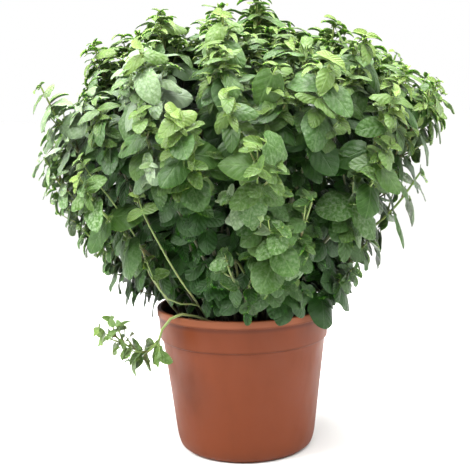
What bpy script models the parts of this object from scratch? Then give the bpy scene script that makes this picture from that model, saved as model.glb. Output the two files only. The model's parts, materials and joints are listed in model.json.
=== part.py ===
"""Potted oregano at its real size: a thin plastic nursery pot, its potting mix and its leafy stems.

The pot stands on z = 0 with its axis on the Z axis, and the side that faces -Y is the front. The stems fan
out from the potting mix to a dome, and their tips share its surface evenly. Leaves grow in opposite pairs,
each pair a quarter turn round from the one before. A leaf that would cross another leaf, a stem or the pot
is bent clear.
"""

import math
import random
from collections import namedtuple
from functools import partial

import bmesh
import bpy
from mathutils import Matrix, Vector, noise
from mathutils.bvhtree import BVHTree

MM = 0.001
WELD = 0.001 * MM
MERGE = 0.01 * MM
SHARP_ANGLE = math.radians(25.0)
UP = Vector((0.0, 0.0, 1.0))

# Pot: the outside, from the rim down
POT_SIDES = 32
RIM_RADIUS = 65.0 * MM
POT_HEIGHT = 108.4 * MM
LIP_HEIGHT = 5.8 * MM
LIP_PROUD = 0.9 * MM
BAND_HEIGHT = 23.6 * MM
BAND_LOW_RADIUS = 62.9 * MM
BAND_PROUD = 1.5 * MM
FOOT_RADIUS = 46.5 * MM
FOOT_ROUND_RADIUS = 51.9 * MM
FOOT_ROUND_HEIGHT = 9.0 * MM
FOOT_TURN = (50.0 * MM, 2.6 * MM)
EDGE = 0.7 * MM
WALL = 1.5 * MM

# Pot: the drained floor, with a raised channel round a flat middle
FLOOR = 1.6 * MM
CHANNEL_RISE = 2.4 * MM
CHANNEL_INNER = 18.5 * MM
CHANNEL_OUTER = 41.5 * MM
CHANNEL_SLOPE = 2.0 * MM
FLOOR_RADIUS = 45.7 * MM
DRAIN_COUNT = 8
DRAIN_SIDES = 6
DRAIN_RADIUS = 3.5 * MM
DRAIN_CIRCLE = 30.0 * MM
DRAIN_DEPTH = 12.0 * MM

# Potting mix
SOIL_LEVEL = 97.0 * MM
SOIL_SIDES = 24
SOIL_RINGS = (0.78, 0.52, 0.26)
SOIL_RELIEF = 1.6 * MM
SOIL_CRUMB = 9.0 * MM
CLEARANCE = 0.3 * MM

# The bush: how far its shoot tips stand from the crown, by their angle from the vertical
CROWN = Vector((0.0, 0.0, 106.0 * MM))
DOME_REACH = 224.0 * MM
SKIRT_REACH = 92.0 * MM
DOME_EDGE = math.radians(38.0)
SKIRT_EDGE = math.radians(74.0)
CENTRE_EDGE = math.radians(28.0)
SKIRT_START = math.radians(55.0)
LOWEST_TIP = math.radians(77.0)
REACH_SPREAD = (-0.035, 0.018)
STEM_COUNT = 31
GOLDEN_ANGLE = math.radians(137.508)
BUSH_TURN = math.radians(300.0)
TURN_SPREAD = 0.12
LEAN_SHARE = 0.42
UPTURN = math.radians(14.0)
BASE_SPREAD = 41.0 * MM

# Short shoots that fill the bush just above the rim
LOW_COUNT = 8
LOW_BASE = 33.0 * MM
LOW_REACH = (67.0 * MM, 79.0 * MM)
LOW_HEIGHTS = (142.0 * MM, 168.0 * MM)
LOW_LEAN, LOW_END = 0.35, 0.75
LOW_SPREAD = (0.2, 0.8)

STEM_DEPTH = 14.0 * MM
STEM_RADII = (1.60 * MM, 1.10 * MM)
SPRIG_RADII = (1.20 * MM, 1.00 * MM)
STEM_SPANS = 5
HANDLE_SHARE = 0.36
SIZE_SPREAD = (0.9, 1.1)
STEM_BERTH = 1.9
STEM_TRIES = 60

# Leaves, from the tip of a shoot down: the distance to each pair and its leaves' length, petiole and all
CENTRE_PAIRS = ((2.5, 11.0), (10.0, 18.0), (21.0, 26.0), (37.0, 30.0), (56.0, 31.0), (77.0, 29.0))
DOME_PAIRS = CENTRE_PAIRS[:5]
SKIRT_PAIRS = ((2.5, 10.0), (9.0, 16.0), (19.0, 23.0), (33.0, 28.0))
LOW_PAIRS = ((3.0, 14.0), (12.0, 22.0), (25.0, 28.0))
SPRIG_PAIRS = ((2.0, 8.0), (9.0, 10.0), (18.0, 11.5), (28.0, 11.5), (39.0, 10.0))
TINY_LEAF = 19.0 * MM
BIG_LEAF = 28.0 * MM
PETIOLE_SHARE = 0.19
PETIOLE_WIDTH = 1.0 * MM
LEAF_THICKNESS = 0.7 * MM
ROOT_DEPTH = 0.3 * MM

# The blade's outline: how fast it widens and narrows, and where its corners are
BASE_CURVE, TIP_CURVE = 0.42, 0.90
WIDEST = BASE_CURVE / (BASE_CURVE + TIP_CURVE)
SHOULDER, WAIST = 0.15, 0.58
SLENDER, BROAD = 0.60, 0.86
SLENDER_LENGTH, BROAD_LENGTH = 8.0 * MM, 24.0 * MM
LEAF_SPREAD = (0.93, 1.08)
ARCH = (0.15, 0.70)

# How a leaf stands off its stem, and how a grown one hangs on the bush's side
SPLAY, YOUNG_SPLAY, SPLAY_SPREAD = math.radians(66.0), math.radians(32.0), math.radians(8.0)
GROWN_LEAF = 22.0 * MM
SIDE_RADIUS = 85.0 * MM
TOP_SAG, SIDE_SAG, SAG_SPREAD = 0.15, 0.95, (-0.1, 0.15)
INNER_HANG, OUTER_HANG = 0.65, 0.35
SIDE_TILT, SIDE_FACING, GROWTH_FACING = 0.55, 1.1, 0.2

# How a leaf keeps clear of its neighbours
LEAF_GAP = 0.4 * MM
BEND_TRIES = 14
LARGEST_BEND = math.radians(58.0)
SHRINK_STEP = 0.022

# Two weak stems that the bush has let go, by points that they pass through
TRAILING_ROUTE = (
    (-13, -44, 83), (-16, -45, 99), (-33, -45.5, 108.5), (-44, -45.5, 110.8), (-52, -47, 108),
    (-58, -50, 101), (-61, -53, 92), (-69, -54, 86), (-81, -54, 90), (-92, -53, 99),
)
HANGING_ROUTE = (
    (2, -31, 83), (1, -34, 99), (-3, -49, 135), (-5, -66, 152), (1, -76, 144), (5, -78, 129), (2, -75, 114),
)

Leaf = namedtuple("Leaf", "root frame length width petiole arch")
Stem = namedtuple("Stem", "name line radii pairs size rings")


def material(name, colour, roughness):
    """A Principled material in a plain colour."""
    made = bpy.data.materials.new(name)
    made.use_nodes = True
    shader = made.node_tree.nodes["Principled BSDF"]
    shader.inputs["Base Color"].default_value = (*colour, 1.0)
    shader.inputs["Roughness"].default_value = roughness
    shader.inputs["Metallic"].default_value = 0.0
    return made


def collection(name):
    made = bpy.data.collections.new(name)
    bpy.context.scene.collection.children.link(made)
    return made


def add_object(name, data, home, look=None):
    made = bpy.data.objects.new(name, data)
    home.objects.link(made)
    if look:
        made.data.materials.clear()
        made.data.materials.append(look)
    return made


def remove_object(gone):
    data = gone.data
    bpy.data.objects.remove(gone)
    if isinstance(data, bpy.types.Mesh):
        bpy.data.meshes.remove(data)
    else:
        bpy.data.curves.remove(data)


def evaluated_mesh(source, weld=True):
    """The object's mesh with its modifiers applied, closed where its parts only touch."""
    graph = bpy.context.evaluated_depsgraph_get()
    graph.update()
    mesh = bpy.data.meshes.new_from_object(source.evaluated_get(graph))
    if not weld:
        return mesh
    welded = bmesh.new()
    welded.from_mesh(mesh)
    bmesh.ops.remove_doubles(welded, verts=welded.verts, dist=WELD)
    welded.to_mesh(mesh)
    welded.free()
    return mesh


def turned(name, profile, sides, home, look):
    """A solid turned about the Z axis from a profile of (radius, height) points."""
    mesh = bpy.data.meshes.new(name)
    points = [(radius, 0.0, height) for radius, height in profile]
    mesh.from_pydata(points, [(i, i + 1) for i in range(len(points) - 1)], [])
    made = add_object(name, mesh, home, look)
    screw = made.modifiers.new("Turn", "SCREW")
    screw.axis = "Z"
    screw.steps = screw.render_steps = sides
    screw.use_merge_vertices = True
    screw.merge_threshold = MERGE
    screw.use_normal_calculate = True
    made.data = evaluated_mesh(made)
    made.modifiers.clear()
    bpy.data.meshes.remove(mesh)
    return made


def joined(target, others, operation):
    """Applies one Boolean of a whole collection to an object, and removes the collection's objects."""
    boolean = target.modifiers.new("Join", "BOOLEAN")
    boolean.operation = operation
    boolean.operand_type = "COLLECTION"
    boolean.collection = others
    boolean.solver = "EXACT"
    before = target.data
    look = before.materials[0]
    made = evaluated_mesh(target, weld=False)
    made.materials.clear()
    made.materials.append(look)
    target.modifiers.clear()
    target.data = made
    bpy.data.meshes.remove(before)
    for gone in list(others.objects):
        remove_object(gone)
    bpy.data.collections.remove(others)


# The pot and its potting mix


def wall_radius(height):
    """The outside radius of the tapered wall below the band."""
    share = (height - FOOT_ROUND_HEIGHT) / (POT_HEIGHT - BAND_HEIGHT - FOOT_ROUND_HEIGHT)
    return FOOT_ROUND_RADIUS + share * (BAND_LOW_RADIUS - BAND_PROUD - FOOT_ROUND_RADIUS)


def channel(level):
    """The raised channel of the floor at a level, from the middle out."""
    return [
        (0.0, level),
        (CHANNEL_INNER, level),
        (CHANNEL_INNER + CHANNEL_SLOPE, level + CHANNEL_RISE),
        (CHANNEL_OUTER - CHANNEL_SLOPE, level + CHANNEL_RISE),
        (CHANNEL_OUTER, level),
    ]


def pot_profile():
    """Runs out over the floor, up the inside, over the lip and down the outside."""
    band_bottom = POT_HEIGHT - BAND_HEIGHT
    lip_bottom = POT_HEIGHT - LIP_HEIGHT
    lip_inner = RIM_RADIUS - LIP_PROUD
    inside = channel(FLOOR) + [
        (FLOOR_RADIUS, FLOOR),
        (FOOT_ROUND_RADIUS - WALL, FOOT_ROUND_HEIGHT),
        (wall_radius(band_bottom) - WALL, band_bottom),
        (lip_inner - WALL, lip_bottom),
        (RIM_RADIUS - 2.0 * WALL, POT_HEIGHT),
    ]
    outside = [
        (RIM_RADIUS - EDGE, POT_HEIGHT),
        (RIM_RADIUS, POT_HEIGHT - EDGE),
        (RIM_RADIUS, lip_bottom + EDGE),
        (lip_inner, lip_bottom),
        (BAND_LOW_RADIUS, band_bottom),
        (wall_radius(band_bottom), band_bottom - EDGE),
        (FOOT_ROUND_RADIUS, FOOT_ROUND_HEIGHT),
        FOOT_TURN,
        (FOOT_RADIUS, 0.0),
    ]
    return inside + outside + channel(0.0)[::-1]


def build_pot(home, look):
    pot = turned("pot", pot_profile(), POT_SIDES, home, look)
    cutters = collection("drain_cutters")
    for i in range(DRAIN_COUNT):
        angle = math.tau * (i + 0.5) / DRAIN_COUNT
        bpy.ops.mesh.primitive_cylinder_add(
            vertices=DRAIN_SIDES,
            radius=DRAIN_RADIUS,
            depth=DRAIN_DEPTH,
            location=(DRAIN_CIRCLE * math.cos(angle), DRAIN_CIRCLE * math.sin(angle), CHANNEL_RISE),
        )
        cutter = bpy.context.object
        for old in cutter.users_collection:
            old.objects.unlink(cutter)
        cutters.objects.link(cutter)
    joined(pot, cutters, "DIFFERENCE")
    pot.data.shade_smooth()
    pot.data.set_sharp_from_angle(angle=SHARP_ANGLE)


def build_soil(home, look):
    """The potting mix, shaken down a little below the rim, with a crumbly top."""
    bottom = FLOOR + CHANNEL_RISE + CLEARANCE
    spare = 2.0 * CLEARANCE + WALL
    low_radius = FLOOR_RADIUS + 0.5 * CLEARANCE
    band_bottom = POT_HEIGHT - BAND_HEIGHT
    top_radius = wall_radius(band_bottom) - spare
    top = [(share * top_radius, SOIL_LEVEL) for share in SOIL_RINGS[::-1]]
    profile = [(0.0, SOIL_LEVEL), *top, (top_radius, SOIL_LEVEL), (top_radius, band_bottom)]
    profile += [(FOOT_ROUND_RADIUS - spare, FOOT_ROUND_HEIGHT), (low_radius, bottom), (0.0, bottom)]
    soil = turned("potting_mix", profile, SOIL_SIDES, home, look)
    for vertex in soil.data.vertices:
        if vertex.co.z > SOIL_LEVEL - CLEARANCE:
            vertex.co.z += SOIL_RELIEF * noise.noise(vertex.co / SOIL_CRUMB)
    return soil


# Where the stems stand


def smooth(share):
    share = min(max(share, 0.0), 1.0)
    return share * share * (3.0 - 2.0 * share)


def reach(polar):
    """How far from the crown a shoot tip stands, by its angle from the vertical."""
    return DOME_REACH + (SKIRT_REACH - DOME_REACH) * smooth((polar - DOME_EDGE) / (SKIRT_EDGE - DOME_EDGE))


def even_polars(count):
    """The polar angles that give each of the tips the same share of the bush's surface."""
    steps = 400
    area, areas = 0.0, []
    for i in range(steps):
        polar = LOWEST_TIP * (i + 0.5) / steps
        area += reach(polar) ** 2 * math.sin(polar)
        areas.append(area)
    found = []
    for k in range(count):
        wanted = area * (k + 0.5) / count
        i = next(i for i, reached in enumerate(areas) if reached >= wanted)
        found.append(LOWEST_TIP * (i + 0.5) / steps)
    return found


def direction(polar, azimuth):
    out = math.sin(polar)
    return Vector((out * math.cos(azimuth), out * math.sin(azimuth), math.cos(polar)))


def bezier(a, b, c, d, steps):
    """Points along a cubic curve."""
    line = []
    for i in range(steps + 1):
        t = i / steps
        s = 1.0 - t
        line.append(s**3 * a + 3 * s * s * t * b + 3 * s * t * t * c + t**3 * d)
    return line


def rooted(base, out, tip, end, spans):
    """A stem from under the potting mix to its tip, by the ways in which it starts and ends."""
    handle = HANDLE_SHARE * (tip - base).length
    line = bezier(base, base + handle * out, tip - handle * end, tip, spans)
    return [base - STEM_DEPTH * (line[1] - base).normalized(), *line]


def main_stem(number, polar, attempt):
    """A stem from the potting mix to its place on the dome, leaning out first and then turning up."""
    draw = random.Random(f"stem {number} attempt {attempt}")
    azimuth = BUSH_TURN + number * GOLDEN_ANGLE + draw.uniform(-TURN_SPREAD, TURN_SPREAD)
    tip = CROWN + reach(polar) * (1.0 + draw.uniform(*REACH_SPREAD)) * direction(polar, azimuth)
    out = BASE_SPREAD * math.sqrt((number + 0.5) / STEM_COUNT)
    base = Vector((out * math.cos(azimuth), out * math.sin(azimuth), SOIL_LEVEL))
    start = direction(LEAN_SHARE * polar, azimuth + draw.uniform(-TURN_SPREAD, TURN_SPREAD))
    upturn = UPTURN * (1.0 + smooth(polar / SKIRT_EDGE))
    line = rooted(base, start, tip, direction(max(0.0, polar - upturn), azimuth), STEM_SPANS)
    pairs = CENTRE_PAIRS if polar < CENTRE_EDGE else DOME_PAIRS if polar < SKIRT_START else SKIRT_PAIRS
    return stem_of(f"leafy_stem_{number + 1:02d}", line, STEM_RADII, pairs, draw.uniform(*SIZE_SPREAD))


def low_shoot(number, attempt):
    """A short shoot with its leaves just above the rim."""
    draw = random.Random(f"low shoot {number} attempt {attempt}")
    azimuth = math.tau * (number + draw.uniform(*LOW_SPREAD)) / LOW_COUNT
    out = draw.uniform(*LOW_REACH)
    tip = Vector((out * math.cos(azimuth), out * math.sin(azimuth), draw.uniform(*LOW_HEIGHTS)))
    base = Vector((LOW_BASE * math.cos(azimuth), LOW_BASE * math.sin(azimuth), SOIL_LEVEL))
    line = rooted(base, direction(LOW_LEAN, azimuth), tip, direction(LOW_END, azimuth), STEM_SPANS - 1)
    return stem_of(f"low_shoot_{number + 1}", line, STEM_RADII, LOW_PAIRS, draw.uniform(*SIZE_SPREAD))


def stem_tube(name, line, radii, home):
    """A stem as a curve with four flat sides, as in the mint family."""
    curve = bpy.data.curves.new(name, "CURVE")
    curve.dimensions = "3D"
    curve.bevel_depth = 1.0
    curve.bevel_resolution = 0
    curve.use_fill_caps = True
    spline = curve.splines.new("POLY")
    spline.points.add(len(line) - 1)
    for i, (point, place) in enumerate(zip(spline.points, line)):
        point.co = (*place, 1.0)
        point.radius = radii[0] + i / (len(line) - 1) * (radii[1] - radii[0])
    return add_object(name, curve, home)


def stem_of(name, line, radii, pairs, size):
    """A stem along a line, with the four corners of its tube at each point."""
    tube = stem_tube(name, line, radii, bpy.context.scene.collection)
    mesh = evaluated_mesh(tube, weld=False)
    corners = [vertex.co.copy() for vertex in mesh.vertices][-4 * len(line) :]
    rings = [corners[4 * i : 4 * i + 4] for i in range(len(line))]
    bpy.data.meshes.remove(mesh)
    remove_object(tube)
    return Stem(name, line, radii, pairs, size, rings)


def tube_tree(stem, fattened=1.0):
    """A stem's four sides as plain faces, for the test of what crosses it."""
    points, faces = [], []
    for centre, ring in zip(stem.line, stem.rings):
        points += [centre + fattened * (corner - centre) for corner in ring]
    for i in range(len(stem.rings) - 1):
        for k in range(4):
            a, b = 4 * i + k, 4 * i + (k + 1) % 4
            faces.append((a, b, b + 4, a + 4))
    return BVHTree.FromPolygons(points, faces)


def all_stems():
    """The two weak stems, then the others, each in the first attempt that keeps clear of those before."""
    trailing = [Vector(point) * MM for point in TRAILING_ROUTE]
    hanging = [Vector(point) * MM for point in HANGING_ROUTE]
    stems = [
        stem_of("trailing_stem", trailing, SPRIG_RADII, SPRIG_PAIRS, 1.0),
        stem_of("hanging_stem", hanging, SPRIG_RADII, SPRIG_PAIRS[:4], 1.1),
    ]
    growers = [partial(main_stem, k, polar) for k, polar in enumerate(even_polars(STEM_COUNT))]
    growers += [partial(low_shoot, k) for k in range(LOW_COUNT)]
    trees = [tube_tree(stem, STEM_BERTH) for stem in stems]
    for grower in growers:
        for attempt in range(STEM_TRIES):
            stem = grower(attempt)
            tree = tube_tree(stem, STEM_BERTH)
            if not any(tree.overlap(other) for other in trees):
                break
        stems.append(stem)
        trees.append(tree)
    return stems


def at_from_tip(stem, distance, side):
    """The point at a distance below the tip, the growth's direction and the way that one side faces."""
    left = distance
    for i in range(len(stem.line) - 1, 0, -1):
        upper, lower = stem.line[i], stem.line[i - 1]
        step = (upper - lower).length
        if step >= left or i == 1:
            break
        left -= step
    point = upper.lerp(lower, min(left / step, 1.0))
    growth = (upper - lower).normalized()
    ring = stem.rings[i] if left < 0.5 * step else stem.rings[i - 1]
    outward = ring[side] + ring[(side + 1) % 4] - ring[(side + 2) % 4] - ring[(side + 3) % 4]
    return point, growth, (outward - outward.dot(growth) * growth).normalized()


# The leaves


def half_width(leaf, along):
    """Half the width of a leaf at a share of its length: the petiole, then an egg-shaped blade."""
    u = (along - leaf.petiole) / (1.0 - leaf.petiole)
    blade = 0.0
    if 0.0 < u < 1.0:
        blade = (u / WIDEST) ** BASE_CURVE * ((1.0 - u) / (1.0 - WIDEST)) ** TIP_CURVE
    return max(0.5 * leaf.width * blade, 0.5 * PETIOLE_WIDTH)


def leaf_point(leaf, along, across, lift):
    """A point of a leaf: across it in metres, and lift above its middle face. The blade bends on an arc."""
    bend = leaf.arch * along
    run = leaf.length * math.sin(bend) / leaf.arch
    drop = leaf.length * (1.0 - math.cos(bend)) / leaf.arch
    place = Vector((across, run + lift * math.sin(bend), lift * math.cos(bend) - drop))
    return leaf.root + leaf.frame @ place


def leaf_solid(leaf, grown=0.0):
    """A leaf as a closed plate of an even thickness. Grown widens and thickens it all round."""
    solid = bmesh.new()
    half = 0.5 * LEAF_THICKNESS + grown
    blade = (SHOULDER, WAIST) if leaf.length > BIG_LEAF else (WIDEST,)
    places = [-ROOT_DEPTH / leaf.length] + ([leaf.petiole] if leaf.petiole else [])
    places += [leaf.petiole + share * (1.0 - leaf.petiole) for share in blade]
    rows = []
    for along in places:
        across = half_width(leaf, along) + grown
        rows.append([solid.verts.new(leaf_point(leaf, along, x, half)) for x in (-across, across)])
    tip = solid.verts.new(leaf_point(leaf, 1.0 + grown / leaf.length, 0.0, half))
    for (left, right), (next_left, next_right) in zip(rows, rows[1:]):
        solid.faces.new((left, right, next_right, next_left))
    solid.faces.new((*rows[-1], tip))
    solid.normal_update()
    bmesh.ops.solidify(solid, geom=solid.faces[:], thickness=2.0 * half)
    return solid


def leaf_frame(heading, upper):
    """The leaf's own axes: across it, along it and up from its upper face."""
    upper = (upper - upper.dot(heading) * heading).normalized()
    return Matrix((heading.cross(upper), heading, upper)).transposed()


def leaf_on(stem, number, side, attempt):
    """One leaf of a pair. Each further attempt bends, turns and shrinks it a little more."""
    distance, length = (value * MM * stem.size for value in stem.pairs[number])
    draw = random.Random(f"{stem.name} pair {number} leaf {side}")
    root, growth, outward = at_from_tip(stem, distance, number % 2 + 2 * side)
    length *= draw.uniform(*LEAF_SPREAD)
    young = max(0.0, 1.0 - length / GROWN_LEAF)
    splay = SPLAY - YOUNG_SPLAY * young + draw.uniform(-SPLAY_SPREAD, SPLAY_SPREAD)
    # A grown leaf on the bush's side hangs, and turns its upper face outwards
    from_axis = Vector((root.x, root.y, 0.0))
    aside = smooth(from_axis.length / SIDE_RADIUS)
    away = from_axis.normalized()
    sag = TOP_SAG + SIDE_SAG * aside * (INNER_HANG + OUTER_HANG * outward.dot(away))
    sag = sag * (1.0 - young) + draw.uniform(*SAG_SPREAD)
    heading = (math.cos(splay) * growth + math.sin(splay) * outward - sag * UP).normalized()
    upper = (1.0 - SIDE_TILT * aside) * UP + SIDE_FACING * aside * away + GROWTH_FACING * growth
    petiole = PETIOLE_SHARE if length > TINY_LEAF else 0.0
    size = smooth((length - SLENDER_LENGTH) / (BROAD_LENGTH - SLENDER_LENGTH))
    slender = SLENDER + size * (BROAD - SLENDER)
    width = slender * length * (1.0 - petiole) * draw.uniform(*LEAF_SPREAD)
    arch = draw.uniform(*ARCH)
    # The further attempts try ever larger turns about the leaf's three axes
    turns = [draw.uniform(-1.0, 1.0) for _ in range(3 * BEND_TRIES)]
    strength = LARGEST_BEND * attempt / BEND_TRIES
    frame = leaf_frame(heading, upper)
    for axis, turn in zip("ZXY", turns[3 * attempt :]):
        frame = frame @ Matrix.Rotation(strength * turn, 3, axis)
    shrink = 1.0 - SHRINK_STEP * attempt
    return Leaf(root, frame, length * shrink, width * shrink, petiole, arch)


def meshed(curve_object, home, look=None):
    """The curve object made a closed mesh."""
    name = curve_object.name
    mesh = evaluated_mesh(curve_object)
    made = add_object(name, mesh, home, look)
    made.matrix_world = curve_object.matrix_world
    remove_object(curve_object)
    made.name = name
    return made


def tree_of(solid):
    found = BVHTree.FromBMesh(solid)
    solid.free()
    return found


def pot_obstacle():
    """The pot and its potting mix, as plain turned faces that no leaf may cross."""
    inner, outer = RIM_RADIUS - 2.0 * WALL - 2.0 * LEAF_GAP, RIM_RADIUS + LEAF_GAP
    mix_top, rim_top = SOIL_LEVEL + SOIL_RELIEF, POT_HEIGHT + LEAF_GAP
    rings = [(0.0, mix_top), (inner, mix_top), (inner, rim_top), (outer, rim_top)]
    rings += [(outer, POT_HEIGHT - BAND_HEIGHT), (FOOT_ROUND_RADIUS + LEAF_GAP, 0.0)]
    points, faces = [], []
    turns = [math.tau * k / POT_SIDES for k in range(POT_SIDES)]
    for radius, height in rings:
        points += [(radius * math.cos(turn), radius * math.sin(turn), height) for turn in turns]
    for ring in range(len(rings) - 1):
        for k in range(POT_SIDES):
            a, b = ring * POT_SIDES + k, ring * POT_SIDES + (k + 1) % POT_SIDES
            faces.append((a, b, b + POT_SIDES, a + POT_SIDES))
    return BVHTree.FromPolygons(points, faces)


def grow_leaves(stems):
    """Every stem's leaves, each in the first of its attempts that crosses nothing placed before it."""
    pot = pot_obstacle()
    tubes = {stem.name: tube_tree(stem) for stem in stems}
    placed = []
    leaves = {stem.name: [] for stem in stems}
    order = [(stem, number, side) for stem in stems for number in range(len(stem.pairs)) for side in (0, 1)]
    order.sort(key=lambda one: -one[0].pairs[one[1]][1])
    for stem, number, side in order:
        for attempt in range(BEND_TRIES):
            leaf = leaf_on(stem, number, side, attempt)
            fat = tree_of(leaf_solid(leaf, LEAF_GAP))
            near = [
                tree
                for owner, other, tree in placed
                if (other.root - leaf.root).length < other.length + leaf.length
                and not (owner is stem and other.root == leaf.root)
            ]
            if any(fat.overlap(tree) for tree in near) or fat.overlap(pot):
                continue
            if any(fat.overlap(tube) for name, tube in tubes.items() if name != stem.name):
                continue
            placed.append((stem, leaf, tree_of(leaf_solid(leaf))))
            leaves[stem.name].append(leaf)
            break
    return leaves


def build_stem(stem, leaves, home, look):
    """A stem and its leaves as one body."""
    body = meshed(stem_tube(stem.name, stem.line, stem.radii, home), home, look)
    blades = collection(f"{stem.name}_leaves")
    for i, leaf in enumerate(leaves):
        mesh = bpy.data.meshes.new(f"{stem.name}_leaf_{i}")
        solid = leaf_solid(leaf)
        solid.to_mesh(mesh)
        solid.free()
        add_object(mesh.name, mesh, blades)
    joined(body, blades, "UNION")


def bore_soil(soil, stems):
    """Plain holes in the potting mix, in which the stems stand: each stem's own path, a little fatter."""
    cutters = collection("stem_holes")
    for stem in stems:
        down = (stem.line[0] - stem.line[1]).normalized()
        buried = [point for point in stem.line if point.z < SOIL_LEVEL + 3.0 * SOIL_RELIEF]
        path = [buried[0] + CLEARANCE * down, *buried[1:], *stem.line[len(buried) :][:1]]
        radius = stem.radii[0] + 1.5 * CLEARANCE
        meshed(stem_tube(f"{stem.name}_hole", path, (radius, radius), cutters), cutters)
    joined(soil, cutters, "DIFFERENCE")


def main():
    for old in list(bpy.data.objects):
        bpy.data.objects.remove(old)
    plastic = material("terracotta_plastic", (0.36, 0.105, 0.052), 0.50)
    mix = material("potting_mix", (0.018, 0.012, 0.009), 0.95)
    green = material("oregano_green", (0.085, 0.19, 0.045), 0.55)
    home = collection("potted_oregano")
    build_pot(home, plastic)
    soil = build_soil(home, mix)
    stems = all_stems()
    bore_soil(soil, stems)
    leaves = grow_leaves(stems)
    for stem in stems:
        build_stem(stem, leaves[stem.name], home, green)


main()
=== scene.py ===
"""Potted oregano: a bushy herb with opposite, egg-shaped leaves in a thin terracotta-coloured plastic pot.

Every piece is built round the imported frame, in metres. The main stems and leaves follow the frame's own
layout rules with the same seeds, so each finer stem stands where its solid does. Side shoots and filling
stems come on top of them by like rules. A leaf that would cross another leaf or a stem is bent clear of it or
left out.
"""

import json
import math
import random
from collections import defaultdict, namedtuple
from functools import lru_cache, partial

import bmesh
import bpy
import numpy as np
from mathutils import Matrix, Quaternion, Vector, noise
from mathutils.bvhtree import BVHTree

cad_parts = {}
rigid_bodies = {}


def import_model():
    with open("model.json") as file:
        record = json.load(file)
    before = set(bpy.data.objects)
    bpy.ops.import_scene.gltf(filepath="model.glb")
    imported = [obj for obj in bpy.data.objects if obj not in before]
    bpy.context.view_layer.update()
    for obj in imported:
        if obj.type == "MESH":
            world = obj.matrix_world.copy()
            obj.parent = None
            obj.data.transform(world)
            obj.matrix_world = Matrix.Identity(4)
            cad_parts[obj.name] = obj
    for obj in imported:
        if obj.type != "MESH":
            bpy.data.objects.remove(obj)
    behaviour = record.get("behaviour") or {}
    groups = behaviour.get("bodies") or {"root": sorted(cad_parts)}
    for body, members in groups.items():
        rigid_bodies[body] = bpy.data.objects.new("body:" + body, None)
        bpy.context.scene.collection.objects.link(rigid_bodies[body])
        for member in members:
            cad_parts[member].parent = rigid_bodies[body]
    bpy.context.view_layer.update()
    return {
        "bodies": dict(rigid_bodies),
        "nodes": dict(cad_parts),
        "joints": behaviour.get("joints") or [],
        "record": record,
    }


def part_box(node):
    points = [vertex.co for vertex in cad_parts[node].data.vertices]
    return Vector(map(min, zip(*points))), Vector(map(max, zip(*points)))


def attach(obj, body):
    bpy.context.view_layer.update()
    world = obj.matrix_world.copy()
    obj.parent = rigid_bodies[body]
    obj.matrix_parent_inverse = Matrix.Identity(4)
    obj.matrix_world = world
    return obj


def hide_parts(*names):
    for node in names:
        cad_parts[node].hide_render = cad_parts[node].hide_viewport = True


bl_info = {
    "name": "Potted oregano",
    "version": (1, 0, 0),
    "blender": (4, 5, 0),
    "location": "3D View > Sidebar > Oregano",
    "description": "Builds a potted oregano plant round its packed frame",
    "category": "Object",
}

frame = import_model()

MM = 0.001
UP = Vector((0.0, 0.0, 1.0))

# Pot sizes, as in the frame
_, POT_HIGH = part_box("pot")
POT_HEIGHT = POT_HIGH.z
RIM_RADIUS = POT_HIGH.x
LIP_HEIGHT = 5.8 * MM
LIP_PROUD = 0.9 * MM
BAND_HEIGHT = 23.6 * MM
BAND_LOW_RADIUS = 62.9 * MM
BAND_PROUD = 1.5 * MM
FOOT_RADIUS = 46.5 * MM
FOOT_ROUND_RADIUS = 51.9 * MM
FOOT_ROUND_HEIGHT = 9.0 * MM
WALL = 1.5 * MM
FLOOR = 1.6 * MM
FLOOR_RADIUS = 45.7 * MM
CHANNEL_RISE = 2.4 * MM
CHANNEL_INNER = 18.5 * MM
CHANNEL_OUTER = 41.5 * MM
CHANNEL_SLOPE = 2.0 * MM
DRAIN_COUNT = 8
DRAIN_RADIUS = 3.5 * MM
DRAIN_CIRCLE = 30.0 * MM
DRAIN_DEPTH = 12.0 * MM
DRAIN_SIDES = 28
SOIL_LEVEL = 97.0 * MM
SOIL_RELIEF = 1.6 * MM
CRUMB_RELIEF = 1.6 * MM
SOIL_CRUMB = 9.0 * MM
FINE_RELIEF, FINE_CRUMB = 0.9 * MM, 3.0 * MM
SOIL_ROWS, SOIL_SIDES = 26, 96
BED_ROWS, BED_SIDES, BED_RISE = 12, 48, 0.3 * MM
CLEARANCE = 0.3 * MM
ROUND_STEPS, ROUND_MOST = 4, 0.48
POT_SIDES = 32
# What is strewn on the mix: a seed, the share of all crumbs, the size in mm and how far each is turned
STREWN = (
    (3, 1.0, (0.9, 0.8, 0.6), (math.tau, math.tau, math.tau)),
    (8, 0.22, (3.2, 0.28, 0.22), (0.3, 0.3, math.tau)),
)

# The bush's layout, as in the frame
CROWN = Vector((0.0, 0.0, 106.0 * MM))
DOME_REACH = 224.0 * MM
SKIRT_REACH = 92.0 * MM
DOME_EDGE = math.radians(38.0)
SKIRT_EDGE = math.radians(74.0)
CENTRE_EDGE = math.radians(28.0)
SKIRT_START = math.radians(55.0)
LOWEST_TIP = math.radians(77.0)
REACH_SPREAD = (-0.035, 0.018)
STEM_COUNT = 31
GOLDEN_ANGLE = math.radians(137.508)
BUSH_TURN = math.radians(300.0)
TURN_SPREAD = 0.12
LEAN_SHARE = 0.42
UPTURN = math.radians(14.0)
BASE_SPREAD = 41.0 * MM
LOW_COUNT = 8
LOW_BASE = 33.0 * MM
LOW_REACH = (67.0 * MM, 79.0 * MM)
LOW_HEIGHTS = (142.0 * MM, 168.0 * MM)
LOW_LEAN, LOW_END = 0.35, 0.75
LOW_SPREAD = (0.2, 0.8)
STEM_DEPTH = 14.0 * MM
STEM_RADII = (1.60 * MM, 1.10 * MM)
SPRIG_RADII = (1.20 * MM, 1.00 * MM)
STEM_SPANS = 5
HANDLE_SHARE = 0.36
SIZE_SPREAD = (0.9, 1.1)
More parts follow.
